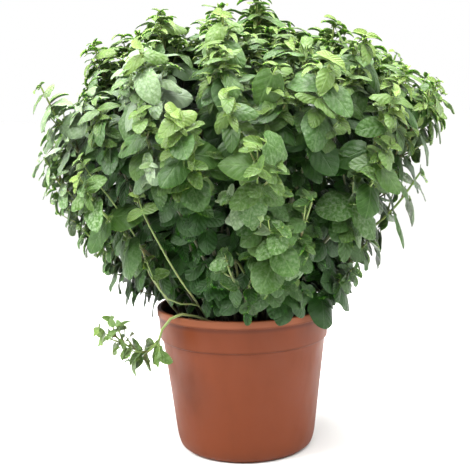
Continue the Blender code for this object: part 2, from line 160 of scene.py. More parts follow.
STEM_BERTH = 1.9
STEM_TRIES = 60

# Leaf pairs from the tip of a shoot down, in mm: the distance to the pair and its leaves' length
CENTRE_PAIRS = ((2.5, 11.0), (10.0, 18.0), (21.0, 26.0), (37.0, 30.0), (56.0, 31.0), (77.0, 29.0))
DOME_PAIRS = CENTRE_PAIRS[:5]
SKIRT_PAIRS = ((2.5, 10.0), (9.0, 16.0), (19.0, 23.0), (33.0, 28.0))
LOW_PAIRS = ((3.0, 14.0), (12.0, 22.0), (25.0, 28.0))
SPRIG_PAIRS = ((2.0, 8.0), (9.0, 10.0), (18.0, 11.5), (28.0, 11.5), (39.0, 10.0))
TINY_LEAF = 19.0 * MM
BIG_LEAF = 28.0 * MM
PETIOLE_SHARE = 0.19
PETIOLE_WIDTH = 1.0 * MM
LEAF_THICKNESS = 0.7 * MM
ROOT_DEPTH = 0.3 * MM
BASE_CURVE, TIP_CURVE = 0.42, 0.90
WIDEST = BASE_CURVE / (BASE_CURVE + TIP_CURVE)
SHOULDER, WAIST = 0.15, 0.58
SLENDER, BROAD = 0.60, 0.86
SLENDER_LENGTH, BROAD_LENGTH = 8.0 * MM, 24.0 * MM
LEAF_SPREAD = (0.93, 1.08)
ARCH = (0.15, 0.70)
SPLAY, YOUNG_SPLAY, SPLAY_SPREAD = math.radians(66.0), math.radians(32.0), math.radians(8.0)
GROWN_LEAF = 22.0 * MM
SIDE_RADIUS = 85.0 * MM
TOP_SAG, SIDE_SAG, SAG_SPREAD = 0.15, 0.95, (-0.1, 0.15)
INNER_HANG, OUTER_HANG = 0.65, 0.35
SIDE_TILT, SIDE_FACING, GROWTH_FACING = 0.55, 1.1, 0.2
LEAF_GAP = 0.4 * MM
BEND_TRIES = 14
LARGEST_BEND = math.radians(58.0)
SHRINK_STEP = 0.022
# The two weak stems' lines from the potting mix up, in mm
TRAILING_ROUTE = (
    (-13, -44, 83), (-16, -45, 99), (-33, -45.5, 108.5), (-44, -45.5, 110.8), (-52, -47, 108),
    (-58, -50, 101), (-61, -53, 92), (-69, -54, 86), (-81, -54, 90), (-92, -53, 99),
)
HANGING_ROUTE = (
    (2, -31, 83), (1, -34, 99), (-3, -49, 135), (-5, -66, 152), (1, -76, 144), (5, -78, 129), (2, -75, 114),
)

# How wide the bush is at each height, in mm: to its right and to its left
RIGHT_EDGE = (
    (96, 60), (113, 82), (150, 98), (180, 103), (200, 113), (225, 132), (250, 149), (265, 149),
    (275, 141), (283, 122), (292, 113), (303, 94), (312, 66), (322, 40), (336, 18),
)
LEFT_EDGE = (
    (96, 60), (118, 84), (138, 96), (157, 116), (176, 124), (191, 139), (217, 150), (235, 146),
    (256, 127), (274, 114), (292, 108), (303, 104), (313, 92), (323, 62), (336, 22),
)
# Shoot tips that show in the bush's outline from the front: right, away and up from the pot's middle, in mm
OUTER_TIPS = (
    (-129, -10, 256), (-143, -14, 224), (-99, -8, 296), (-83, 4, 306), (-70, -18, 306), (-55, -5, 316),
    (-36, -12, 306), (-23, 10, 312), (-10, -16, 323), (17, -4, 323), (34, -22, 309), (47, 12, 305),
    (61, -10, 303), (79, 14, 295), (96, -12, 292), (113, 6, 283), (136, -8, 272), (144, -22, 260),
    (-110, 12, 268), (-138, 0, 198), (118, -18, 214), (-116, -22, 172), (96, -14, 160),
)
# Weak bare stems at the front left, from the potting mix up
BARE_ROUTES = (
    (
        (-38, -20, 84), (-43, -24, 100), (-53, -26, 114), (-66, -40, 139), (-68, -56, 156),
        (-76, -67, 176), (-88, -76, 198), (-98, -78, 211), (-106, -78, 224),
    ),
    (
        (-24, -22, 84), (-26, -25, 100), (-32, -37, 115), (-45, -64, 142), (-56, -79, 167),
        (-64, -86, 186), (-68, -88, 201),
    ),
    (
        (-22, -30, 84), (-25, -34, 100), (-32, -42, 116), (-44, -50, 119), (-53, -55, 124),
        (-61, -60, 138), (-66, -64, 153),
    ),
)
# Large leaves that face the front, by the middle of each blade and its length
SHOWN_LEAVES = (
    ((20, -132, 225), 27), ((-6, -134, 216), 26), ((-49, -118, 210), 29), ((-10, -112, 257), 26),
    ((15, -114, 256), 26), ((-62, -96, 242), 26), ((80, -84, 235), 25), ((72, -94, 216), 26),
    ((6, -122, 188), 25), ((97, -62, 224), 27), ((136, -24, 254), 24), ((122, -30, 234), 24),
)
# The tips of young shoots that stand out on the front
SHOWN_SHOOTS = (
    (-25, -118, 193), (-4, -112, 176), (37, -112, 199), (-35, -104, 244),
    (35, -112, 218), (-59, -86, 229), (74, -84, 199),
)
# Shoots with a thick down, silvery partly from a painted sheen: the middle of each and its reach, in mm
DOWNY_SHEEN_SHOOTS = (
    (-64, -70, 273, 50), (-84, -50, 266, 52), (-50, -90, 258, 36), (-134, -20, 255, 38), (-134, -26, 218, 40),
    (-110, -48, 244, 44), (-9, -50, 293, 24), (48, -70, 267, 26), (-43, -100, 243, 24), (-4, -120, 182, 32),
    (62, -90, 190, 24), (-59, -110, 214, 20), (60, 80, 262, 34), (-40, 110, 235, 30), (110, 40, 240, 30),
    (-100, 60, 245, 30), (20, 120, 200, 26),
)

# Filling stems, from the potting mix or as branches of other stems
FILLING_COUNT = 118
FILLING_TURN = math.radians(222.0)
FILLING_TURN_SPREAD = 0.25
FILLING_REACH = (0.88, 1.0)
FILLING_LOW_COUNT = 30
FILLING_LOW_REACH = (46.0, 84.0)
FILLING_LOW_HEIGHTS = (126.0, 190.0)
FILLING_RADII = (1.3 * MM, 0.8 * MM)
FILLING_BASE = 48.0 * MM
FILLING_FOOT_SHARES = (0.15, 1.0)
FILLING_FOOT_TURN = 0.35
FILLING_LEAN_TURN = 0.3
FILLING_TRIES = 10
FILLING_PIECES = 6
BRANCH_SPAN = (42.0 * MM, 110.0 * MM)
BRANCH_AGREES = 0.72
BRANCH_BEND = 0.7
BRANCH_LOWEST = 262.0 * MM
PULL_IN = 0.98
BARE_RADII = (0.85 * MM, 0.6 * MM)
# How many times its own width each kind of stem keeps free of a new filling stem
MAIN_ROOM, BARE_ROOM, FILLING_ROOM = 1.4, 2.0, 1.5
FINE_STEP = 8.0 * MM

# Leaf pairs beyond the frame's, from a tip down, in mm: the distance to the pair and its leaves' length
CROWN_PAIRS = ((0.2, 7.0), (7.0, 12.5), (19.0, 16.0))
BARE_PAIRS = ((2.0, 7.0), (7.0, 11.0), (14.0, 14.0), (23.0, 15.0))
TOP_PAIRS = ((1.0, 10.5), (6.0, 15.5), (14.0, 19.0), (23.5, 20.5), (34.0, 21.0), (46.0, 20.0), (59.0, 19.0))
SIDE_PAIRS = ((1.5, 8.0), (7.0, 12.5), (15.0, 16.0), (26.0, 18.0), (39.0, 19.0), (54.0, 20.0))
SHOOT_PAIRS = ((0.6, 7.5), (5.0, 11.5), (12.0, 14.5), (20.5, 16.5), (30.0, 18.0))
SIDE_START = math.radians(52.0)
# No stem grows along this way, so it serves to find one square to the growth
ASIDE = Vector((0.31, 0.17, 0.02))
DEEP_STEP = 12.0 * MM
DEEP_STEP_SPREAD = (0.85, 1.25)
DEEP_LENGTHS = (12.0 * MM, 20.0 * MM)
DEEP_FLOOR = SOIL_LEVEL + 17.0 * MM
DEEPEST = 170.0 * MM

# Side shoots in the leaf axils, more of them from a height up over a span of heights
SHOOT_CHANCE = (0.95, 0.60)
SHOOT_RISE, SHOOT_RISE_SPAN = 190.0 * MM, 90.0 * MM
SHOOT_DEEPEST = 62.0 * MM
SHOOT_SHARE = (0.35, 0.75)
SHOOT_FARTHEST = 60.0 * MM
SHOOT_SPAN = (5.0 * MM, 30.0 * MM)
SHOOT_OUT, SHOOT_UP, SHOOT_AWAY = (0.6, 1.0), (0.4, 1.0), 0.25
SHOOT_SIZE = (0.9, 1.2)
SHOOT_LEAFY = 0.88
SHOOT_RADII = (0.75 * MM, 0.5 * MM)
SHOOT_STEPS = 4
SPRIG_SHOOT = (12.0 * MM, 19.0 * MM)
WEAK_SHOOTS = 0.45
WEAK_STEMS = ("trailing_stem", "hanging_stem")

# Leaves and shoots that are shown on the front, and the curtains that keep them in view
SHOWN_AWAY, SHOWN_LIFT, SHOWN_MISS = 0.60, 0.25, 0.6
SHOWN_RISE = 0.12
SHOWN_WIDTH = 0.95
SHOWN_ARCH = (0.3, 0.6)
SHOWN_FACING = (0.3, -0.95, 0.45)
SHOWN_BEND = 0.7
SHOWN_LENGTH, SHOWN_REACH = 30.0 * MM, 55.0 * MM
SHOWN_FORWARD, SHOWN_AHEAD = 0.2, 0.1
SHOWN_LEAST = 4
CURTAIN_DEPTH = 60.0 * MM
CURTAIN_START, CURTAIN_RISE = 0.04, 0.2
CURTAIN_SHARES = (0.3, 0.5, 0.7, 0.9)

# How leaves are bent, narrowed and kept apart
LEVEL_SPLAY = math.radians(16.0)
LEVEL_HEIGHTS = (225.0 * MM, 290.0 * MM)
LEVEL_HANG = 0.85
YOUNG_ARCH, TOP_ARCH, MAIN_ARCH = 2.0, 0.5, 0.5
YOUNG_NARROWING, TOP_NARROWING = 0.2, 0.3
MAIN_SCALE, TOP_SCALE, SPRIG_SCALE = (1.0, 0.90), (0.80, 0.86), (0.58, 0.84)
SPARE_TRIES = 5
CELL = 24.0 * MM
LEAF_MIDDLE = 0.55
PLATE_ROWS = (0.02, 0.5, 0.82)
STEM_END_SPARE = 0.5 * MM
NEIGHBOUR_REACH = 0.6
OUTER_BEYOND, INNER_BEYOND = 7.0 * MM, -7.0 * MM
OUTER_TIP_NEAR, OUTER_STEM_INSIDE = 6.0 * MM, 12.0 * MM

# Leaf blanks: the rows along the blade as shares of its length, and the stalk's length and half width
BLADE_ROWS = {
    "grown": (0.015, 0.07, 0.17, 0.30, 0.45, 0.60, 0.73, 0.84, 0.93, 0.98),
    "young": (0.03, 0.12, 0.27, 0.45, 0.63, 0.80, 0.93),
    "tiny": (0.10, 0.35, 0.65, 0.88),
}
KINDS = ("grown",) * 8 + ("young",) * 5 + ("tiny",) * 3
GROWN_BLANK, YOUNG_BLANK = 14.0 * MM, 8.5 * MM
STALK_SHARE = {"grown": PETIOLE_SHARE, "young": 0.10, "tiny": 0.03}
STALK_WIDTH = {"grown": 0.030, "young": 0.045, "tiny": 0.08}
# The fine leaf's outline is rounder towards the tip than the frame's few corners
FINE_BASE, FINE_TIP = (0.30, 0.42), (0.54, 0.74)
# How a blank's face varies: its fold up from the midrib, its dome, its lobes at the base and its wavy margin
GROWN_COLUMNS, SMALL_COLUMNS = (-1.0, -0.55, 0.0, 0.55, 1.0), (-1.0, 0.0, 1.0)
GROWN_FOLD, SMALL_FOLD = (0.05, 0.45), (0.2, 0.5)
GROWN_DOME, SMALL_DOME = (0.10, 0.55), 0.1
GROWN_LOBE, SMALL_LOBE = (0.08, 0.20), 0.03
GROWN_WAVE, SMALL_WAVE = (0.03, 0.11), 0.03
WAVES, WAVE_OFFSET = 1.7, 1.3
BLADE_SKEW, BLADE_RISE = 0.08, 0.36
MIDRIB_SINK, TIP_SINK = 0.014, 0.02
TIP_BODY, BASE_BODY = 0.016, 0.022
STALK_ROWS, STALK_RISE = (0.12, 0.88), 0.7

# What a point of a foliage plan holds: the kind of each attribute, and its value where none is told
STORED = {
    "is_leaf": ("BOOLEAN", False),
    "root": ("FLOAT_VECTOR", (0.0, 0.0, 0.0)),
    "turn": ("QUATERNION", (1.0, 0.0, 0.0, 0.0)),
    "measure": ("FLOAT_VECTOR", (1.0, 1.0, 1.0)),
    "arch": ("FLOAT", 1.0),
    "twist": ("FLOAT", 0.0),
    "kind": ("INT", 0),
    "age": ("FLOAT", 0.5),
    "tone": ("FLOAT", 0.5),
    "shade": ("FLOAT", 0.0),
    "thick": ("FLOAT", 0.0),
}
# The attributes that a finished piece keeps, as its faces and its materials read them
FOLIAGE_READS = (
    "age", "tone", "shade", "underside", "stalk",
    "UVMap", "position", "material_index", "sharp_edge", "sharp_face",
)

# Age, tone, silvery down with its painted sheen, and painted shade of leaves and stems
NEWEST_LEAF, GROWING_SPAN = 6.0 * MM, 18.0 * MM
YOUNG_PATCH, YOUNG_LEVEL = 28.0 * MM, 0.38
SPRIG_AGE = 0.6
AGE_SPREAD, TWIST_SPREAD = 0.15, 0.35
LEAF_TONE, STEM_TONE, DOWN_SHEEN_TONE = 0.6, 0.4, 1.0
DOWN_SHEEN_RISE = 1.25
THIN_TIP = 0.62
SHADE_HEIGHTS = (185.0 * MM, 280.0 * MM)
# Painted shade: how deep in the bush and how high above the pot it darkens leaves and stems, and how much of
# it the stems in the light get
DARK_DEPTH, DARK_HEIGHT = 64.0 * MM, 74.0 * MM
LIT_SHADE = 0.2
LIT_STEMS = ("trailing_stem", "hanging_stem", "bare_stem")

# Stage: where each lamp stands and its power in watts, and the sky's brightness by height
FLOOR_SPAN = 40.0
CAMERA_ASIDE = -0.0048
CAMERA_ROLL = -0.026
LAMP_SIZE = 1.0
LAMP_SPREAD = math.radians(40.0)
LAMP_AIM = Vector((0.0, 0.0, 0.2))
LAMPS = {
    "key_light": ((0.0, -1.0, 1.9), 2.7),
    "top_light": ((0.1, 0.1, 1.8), 7.0),
    "left_light": ((-1.4, -0.5, 1.5), 6.0),
    "right_light": ((1.5, -0.3, 1.3), 2.1),
}
SKY_LOWEST, SKY_HIGHEST = (1.0, 1.0, 1.0, 1.0), (3.1, 3.1, 3.1, 1.0)
SKY_STOPS = ((0.12, 1.0), (0.18, 0.42), (0.62, 0.72))

Leaf = namedtuple("Leaf", "root frame length width petiole arch")
Stem = namedtuple("Stem", "name line radii pairs size rings")
Plan = namedtuple("Plan", "name lines leaves node")


def linear(code):
    """An sRGB hex colour as linear red, green, blue and alpha."""
    parts = [int(code[i : i + 2], 16) / 255.0 for i in (1, 3, 5)]
    return (*(c / 12.92 if c <= 0.04045 else ((c + 0.055) / 1.055) ** 2.4 for c in parts), 1.0)


def add_node(tree, kind, inputs=(), **settings):
    """Adds a node with its settings and returns its first output in use.

    Inputs go by name, or by number among those in use: a socket is linked and a value is set.
    """
    node = tree.nodes.new(kind)
    for name, value in settings.items():
        setattr(node, name, value)
    used = [socket for socket in node.inputs if socket.enabled]
    for key, value in dict(inputs).items():
        socket = used[key] if isinstance(key, int) else next(one for one in used if one.name == key)
        if isinstance(value, bpy.types.NodeSocket):
            tree.links.new(value, socket)
        else:
            socket.default_value = value
    return next((socket for socket in node.outputs if socket.enabled), None)


def geometry_tree(name, **inputs):
    """A new tree that takes a geometry and more inputs, each with its kind, and gives a geometry.

    Returns the tree, the function that adds a node to it and what it takes in.
    """
    tree = bpy.data.node_groups.new(name, "GeometryNodeTree")
    tree.interface.new_socket("Geometry", in_out="OUTPUT", socket_type="NodeSocketGeometry")
    for label, kind in {"Geometry": "Geometry", **inputs}.items():
        tree.interface.new_socket(label, in_out="INPUT", socket_type=f"NodeSocket{kind}")
    add = partial(add_node, tree)
    return tree, add, add("NodeGroupInput").node.outputs


def discard(collection):
    """Takes away a collection of helpers with all its objects."""
    for gone in list(collection.objects):
        bpy.data.objects.remove(gone)
    bpy.data.collections.remove(collection)


def new_object(name, mesh):
    made = bpy.data.objects.new(name, mesh)
    bpy.context.scene.collection.objects.link(made)
    return made


def finished(piece, slot, *nodes):
    """Makes a piece ride on the plant's one body and hides the frame nodes that it stands for; its slot is
    not used.
    """
    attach(piece, "root")
    if nodes:
        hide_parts(*nodes)


# The layout of the main stems, by the frame's rules


def smooth(share):
    share = min(max(share, 0.0), 1.0)
    return share * share * (3.0 - 2.0 * share)


def reach(polar):
    """How far from the crown a shoot tip stands, by its angle from the vertical."""
    return DOME_REACH + (SKIRT_REACH - DOME_REACH) * smooth((polar - DOME_EDGE) / (SKIRT_EDGE - DOME_EDGE))


def even_polars(count):
    """The polar angles that give each of the tips the same share of the bush's surface."""
    steps, area, areas = 400, 0.0, []
    for i in range(steps):
        polar = LOWEST_TIP * (i + 0.5) / steps
        area += reach(polar) ** 2 * math.sin(polar)
        areas.append(area)
    found = []
    for k in range(count):
        wanted = area * (k + 0.5) / count
        i = next(i for i, reached in enumerate(areas) if reached >= wanted)
        found.append(LOWEST_TIP * (i + 0.5) / steps)
    return found


def round_axis(radius, turn, height):
    """The point at a radius from the pot's axis, a turn about it and a height."""
    return Vector((radius * math.cos(turn), radius * math.sin(turn), height))


def direction(polar, azimuth):
    return round_axis(math.sin(polar), azimuth, math.cos(polar))


def upturned(polar, azimuth):
    """The direction in which a stem ends, more upright than its lean."""
    return direction(max(0.0, polar - UPTURN * (1.0 + smooth(polar / SKIRT_EDGE))), azimuth)


def bezier(a, b, c, d, steps):
    """Points along a cubic curve."""
    line = []
    for i in range(steps + 1):
        t = i / steps
        s = 1.0 - t
        line.append(s**3 * a + 3 * s * s * t * b + 3 * s * t * t * c + t**3 * d)
    return line


def rooted(base, out, tip, end, spans):
    """A stem from under the potting mix to its tip, by the ways in which it starts and ends."""
    handle = HANDLE_SHARE * (tip - base).length
    line = bezier(base, base + handle * out, tip - handle * end, tip, spans)
    return [base - STEM_DEPTH * (line[1] - base).normalized(), *line]


def main_stem(number, polar, attempt):
    """A stem from the potting mix to its place on the dome, leaning out first and then turning up."""
    draw = random.Random(f"stem {number} attempt {attempt}")
    azimuth = BUSH_TURN + number * GOLDEN_ANGLE + draw.uniform(-TURN_SPREAD, TURN_SPREAD)
    tip = CROWN + reach(polar) * (1.0 + draw.uniform(*REACH_SPREAD)) * direction(polar, azimuth)
    base = round_axis(BASE_SPREAD * math.sqrt((number + 0.5) / STEM_COUNT), azimuth, SOIL_LEVEL)
    start = direction(LEAN_SHARE * polar, azimuth + draw.uniform(-TURN_SPREAD, TURN_SPREAD))
    line = rooted(base, start, tip, upturned(polar, azimuth), STEM_SPANS)
    pairs = CENTRE_PAIRS if polar < CENTRE_EDGE else DOME_PAIRS if polar < SKIRT_START else SKIRT_PAIRS
    return stem_of(f"leafy_stem_{number + 1:02d}", line, STEM_RADII, pairs, draw.uniform(*SIZE_SPREAD))


def low_shoot(number, attempt):
    """A short shoot with its leaves just above the rim."""
    draw = random.Random(f"low shoot {number} attempt {attempt}")
    azimuth = math.tau * (number + draw.uniform(*LOW_SPREAD)) / LOW_COUNT
    tip = round_axis(draw.uniform(*LOW_REACH), azimuth, draw.uniform(*LOW_HEIGHTS))
    base = round_axis(LOW_BASE, azimuth, SOIL_LEVEL)
    line = rooted(base, direction(LOW_LEAN, azimuth), tip, direction(LOW_END, azimuth), STEM_SPANS - 1)
    return stem_of(f"low_shoot_{number + 1}", line, STEM_RADII, LOW_PAIRS, draw.uniform(*SIZE_SPREAD))


def stem_of(name, line, radii, pairs, size):
    """A stem along a line, with the four corners of its square tube at each point."""
    curve = bpy.data.curves.new(name, "CURVE")
    curve.dimensions = "3D"
    curve.bevel_depth = 1.0
    curve.bevel_resolution = 0
    curve.use_fill_caps = True
    spline = curve.splines.new("POLY")
    spline.points.add(len(line) - 1)
    for i, (point, place) in enumerate(zip(spline.points, line)):
        point.co = (*place, 1.0)
        point.radius = radii[0] + i / (len(line) - 1) * (radii[1] - radii[0])
    tube = new_object(name + "_tube", curve)
    graph = bpy.context.evaluated_depsgraph_get()
    graph.update()
    mesh = bpy.data.meshes.new_from_object(tube.evaluated_get(graph))
    corners = [vertex.co.copy() for vertex in mesh.vertices][-4 * len(line) :]
    rings = [corners[4 * i : 4 * i + 4] for i in range(len(line))]
    bpy.data.objects.remove(tube)
    bpy.data.curves.remove(curve)
    bpy.data.meshes.remove(mesh)
    return Stem(name, line, radii, pairs, size, rings)


def tube_tree(stem, fattened=1.0):
    """A stem's four sides as plain faces, for the test of what crosses it."""
    points, faces = [], []
    for centre, ring in zip(stem.line, stem.rings):
        points += [centre + fattened * (corner - centre) for corner in ring]
    for i in range(len(stem.rings) - 1):
        for k in range(4):
            a, b = 4 * i + k, 4 * i + (k + 1) % 4
            faces.append((a, b, b + 4, a + 4))
    return BVHTree.FromPolygons(points, faces)


def all_stems():
    """The two weak stems, then the others, each in the first attempt that keeps clear of those before."""
    trailing = [Vector(point) * MM for point in TRAILING_ROUTE]
    hanging = [Vector(point) * MM for point in HANGING_ROUTE]
    stems = [
        stem_of("trailing_stem", trailing, SPRIG_RADII, SPRIG_PAIRS, 1.0),
        stem_of("hanging_stem", hanging, SPRIG_RADII, SPRIG_PAIRS[:4], 1.1),
    ]
    growers = [partial(main_stem, k, polar) for k, polar in enumerate(even_polars(STEM_COUNT))]
    growers += [partial(low_shoot, k) for k in range(LOW_COUNT)]
    trees = [tube_tree(stem, STEM_BERTH) for stem in stems]
    for grower in growers:
        for attempt in range(STEM_TRIES):
            stem = grower(attempt)
            tree = tube_tree(stem, STEM_BERTH)
            if not any(tree.overlap(other) for other in trees):
                break
        stems.append(stem)
        trees.append(tree)
    return stems


def at_from_tip(stem, distance, side):
    """The point at a distance below the tip, the growth's direction there and the way that one side faces."""
    left = distance
    for i in range(len(stem.line) - 1, 0, -1):
        upper, lower = stem.line[i], stem.line[i - 1]
        step = (upper - lower).length
        if step >= left or i == 1:
            break
        left -= step
    point = upper.lerp(lower, min(left / step, 1.0))
    growth = (upper - lower).normalized()
    ring = stem.rings[i] if left < 0.5 * step else stem.rings[i - 1]
    outward = ring[side] + ring[(side + 1) % 4] - ring[(side + 2) % 4] - ring[(side + 3) % 4]
    return point, growth, (outward - outward.dot(growth) * growth).normalized()


def half_width(leaf, along):
    """Half the width of a leaf at a share of its length: the petiole, then an egg-shaped blade."""
    u = (along - leaf.petiole) / (1.0 - leaf.petiole)
    blade = 0.0
    if 0.0 < u < 1.0:
        blade = (u / WIDEST) ** BASE_CURVE * ((1.0 - u) / (1.0 - WIDEST)) ** TIP_CURVE
    return max(0.5 * leaf.width * blade, 0.5 * PETIOLE_WIDTH)


def leaf_point(leaf, along, across, lift):
    """A point of a leaf: across it in metres, and lift above its middle face. The blade bends on an arc."""
    bend = leaf.arch * along
    run = leaf.length * math.sin(bend) / leaf.arch
    drop = leaf.length * (1.0 - math.cos(bend)) / leaf.arch
    place = Vector((across, run + lift * math.sin(bend), lift * math.cos(bend) - drop))
    return leaf.root + leaf.frame @ place


def leaf_tree(leaf, grown=0.0):
    """A leaf as a closed plate for the test of what it crosses. Grown widens and thickens it all round."""
    solid = bmesh.new()
    half = 0.5 * LEAF_THICKNESS + grown
    blade = (SHOULDER, WAIST) if leaf.length > BIG_LEAF else (WIDEST,)
    places = [-ROOT_DEPTH / leaf.length] + ([leaf.petiole] if leaf.petiole else [])
    places += [leaf.petiole + share * (1.0 - leaf.petiole) for share in blade]
    rows = []
    for along in places:
        across = half_width(leaf, along) + grown
        rows.append([solid.verts.new(leaf_point(leaf, along, x, half)) for x in (-across, across)])
    tip = solid.verts.new(leaf_point(leaf, 1.0 + grown / leaf.length, 0.0, half))
    for (left, right), (next_left, next_right) in zip(rows, rows[1:]):
        solid.faces.new((left, right, next_right, next_left))
    solid.faces.new((*rows[-1], tip))
    solid.normal_update()
    bmesh.ops.solidify(solid, geom=solid.faces[:], thickness=2.0 * half)
    found = BVHTree.FromBMesh(solid)
    solid.free()
    return found


def leaf_frame(heading, upper):
    """The leaf's own axes: across it, along it and up from its upper face."""
    upper = (upper - upper.dot(heading) * heading).normalized()
    return Matrix((heading.cross(upper), heading, upper)).transposed()


def leaf_at(root, growth, outward, length, draw, attempt, hang=1.0):
    """A leaf on one side of a stem. Each further attempt bends, turns and shrinks it a little more.

    Hang is how far it follows the way in which leaves on the bush's side hang.
    """
    length *= draw.uniform(*LEAF_SPREAD)
    young = max(0.0, 1.0 - length / GROWN_LEAF)
    splay = SPLAY - YOUNG_SPLAY * young - LEVEL_SPLAY * (1.0 - hang)
    splay += draw.uniform(-SPLAY_SPREAD, SPLAY_SPREAD)
    # A grown leaf on the bush's side hangs, and turns its upper face outwards
    from_axis = Vector((root.x, root.y, 0.0))
    aside = hang * smooth(from_axis.length / SIDE_RADIUS)
    away = from_axis.normalized()
    sag = TOP_SAG + SIDE_SAG * aside * (INNER_HANG + OUTER_HANG * outward.dot(away))
    sag = sag * (1.0 - young) + draw.uniform(*SAG_SPREAD)
    heading = (math.cos(splay) * growth + math.sin(splay) * outward - sag * UP).normalized()
    upper = (1.0 - SIDE_TILT * aside) * UP + SIDE_FACING * aside * away + GROWTH_FACING * growth
    petiole = PETIOLE_SHARE if length > TINY_LEAF else 0.0
    size = smooth((length - SLENDER_LENGTH) / (BROAD_LENGTH - SLENDER_LENGTH))
    slender = SLENDER + size * (BROAD - SLENDER)
    width = slender * length * (1.0 - petiole) * draw.uniform(*LEAF_SPREAD)
    arch = draw.uniform(*ARCH)
    # The further attempts try ever larger turns about the leaf's three axes
    turns = [draw.uniform(-1.0, 1.0) for _ in range(3 * BEND_TRIES)]
    strength = LARGEST_BEND * attempt / BEND_TRIES
    frame = leaf_frame(heading, upper)
    for axis, turn in zip("ZXY", turns[3 * attempt :]):
        frame = frame @ Matrix.Rotation(strength * turn, 3, axis)
    shrink = 1.0 - SHRINK_STEP * attempt
    return Leaf(root, frame, length * shrink, width * shrink, petiole, arch)


def leaf_on(stem, number, side, attempt):
    """One leaf of a pair of a main stem."""
    distance, length = (value * MM * stem.size for value in stem.pairs[number])
    draw = random.Random(f"{stem.name} pair {number} leaf {side}")
    return leaf_at(*at_from_tip(stem, distance, number % 2 + 2 * side), length, draw, attempt)


def pot_obstacle():
    """The pot and its potting mix, as plain turned faces that no leaf may cross."""
    inner, outer = RIM_RADIUS - 2.0 * WALL - 2.0 * LEAF_GAP, RIM_RADIUS + LEAF_GAP
    mix_top, rim_top = SOIL_LEVEL + SOIL_RELIEF, POT_HEIGHT + LEAF_GAP
    rings = [(0.0, mix_top), (inner, mix_top), (inner, rim_top), (outer, rim_top)]
    rings += [(outer, POT_HEIGHT - BAND_HEIGHT), (FOOT_ROUND_RADIUS + LEAF_GAP, 0.0)]
    points, faces = [], []
    for radius, height in rings:
        points += [round_axis(radius, math.tau * k / POT_SIDES, height) for k in range(POT_SIDES)]
    for ring in range(len(rings) - 1):
        for k in range(POT_SIDES):
            a, b = ring * POT_SIDES + k, ring * POT_SIDES + (k + 1) % POT_SIDES
            faces.append((a, b, b + POT_SIDES, a + POT_SIDES))
    return BVHTree.FromPolygons(points, faces)


def main_leaves(stems, pot):
    """Every main stem's leaves, each in the first of its attempts that crosses nothing placed before it."""
    tubes = {stem.name: tube_tree(stem) for stem in stems}
    placed = []
    leaves = {stem.name: [] for stem in stems}
    order = [(stem, number, side) for stem in stems for number in range(len(stem.pairs)) for side in (0, 1)]
    order.sort(key=lambda one: -one[0].pairs[one[1]][1])
    for stem, number, side in order:
        for attempt in range(BEND_TRIES):
            leaf = leaf_on(stem, number, side, attempt)
            fat = leaf_tree(leaf, LEAF_GAP)
            near = [
                tree
                for owner, other, tree in placed
                if (other.root - leaf.root).length < other.length + leaf.length
                and not (owner is stem and other.root == leaf.root)
            ]
            if any(fat.overlap(tree) for tree in near) or fat.overlap(pot):
                continue
            if any(fat.overlap(tube) for name, tube in tubes.items() if name != stem.name):
                continue
            placed.append((stem, leaf, leaf_tree(leaf)))
            leaves[stem.name].append(leaf)
            break
    return leaves


# What grows on top of the layout: lower pairs, side shoots and filling stems


def edge_at(edge, height):
    """The bush's half width at a height, between the rows of an edge."""
    level = height / MM
    if level <= edge[0][0]:
        return edge[0][1] * MM
    for (low, narrow), (high, wide) in zip(edge, edge[1:]):
        if level <= high:
            return MM * (narrow + (level - low) / (high - low) * (wide - narrow))
    return 0.0


def inside(point):
    """How far a point lies inside the bush's outline, measured level towards the pot's axis."""
    out = math.hypot(point.x, point.y)
    right = 0.5 + 0.5 * point.x / max(out, MM)
    return right * edge_at(RIGHT_EDGE, point.z) + (1.0 - right) * edge_at(LEFT_EDGE, point.z) - out


def depth_in_bush(point):
    """How far a point lies below the surface on which the shoot tips stand."""
    away = point - CROWN
    return reach(math.acos(away.z / away.length)) - away.length


def near_top(point):
    """From 0 on the bush's side to 1 among its top shoots, whose leaves lie level."""
    low, high = LEVEL_HEIGHTS
    return smooth((point.z - low) / (high - low))


def trimmed(leaf, on_sprig):
    """A main leaf as it is drawn: a little smaller than its plain plate, and slimmer near the top."""
    width, length = (side + near_top(leaf.root) * (top - side) for side, top in zip(MAIN_SCALE, TOP_SCALE))
    if on_sprig:
        width, length = SPRIG_SCALE
    arch = leaf.arch + MAIN_ARCH * near_top(leaf.root)
    return leaf._replace(length=length * leaf.length, width=width * leaf.width, arch=arch)


def plate(leaf):
    """A leaf's middle face in a few triangles, for the quick test of what it crosses."""
    start, middle, end = PLATE_ROWS
    middle = leaf.petiole + middle * (1.0 - leaf.petiole)
    shares = (leaf.petiole + start, leaf.petiole + SHOULDER, middle, end)
    points, faces = [], []
    for along in shares:
        across = half_width(leaf, along)
        points += [leaf_point(leaf, along, x, 0.0) for x in (-across, across)]
    points.append(leaf_point(leaf, 1.0, 0.0, 0.0))
    for i in range(0, 2 * len(shares) - 2, 2):
        faces.append((i, i + 1, i + 3, i + 2))
    faces.append((len(points) - 3, len(points) - 2, len(points) - 1))
    return points, faces


def ribbons(line, radius):
    """Two crossed strips along a line, which stand for the stem where leaves are tested against it."""
    points, faces = [], []
    for a, b in zip(line, line[1:]):
        along = (b - a).normalized()
        across = radius * along.orthogonal()
        up = along.cross(across)
        first = len(points)
        points += [a + across, a - across, b - across, b + across, a + up, a - up, b - up, b + up]
        faces += [(first, first + 1, first + 2, first + 3), (first + 4, first + 5, first + 6, first + 7)]
    return points, faces


def cell_of(point):
    return tuple(int(math.floor(value / CELL)) for value in point)


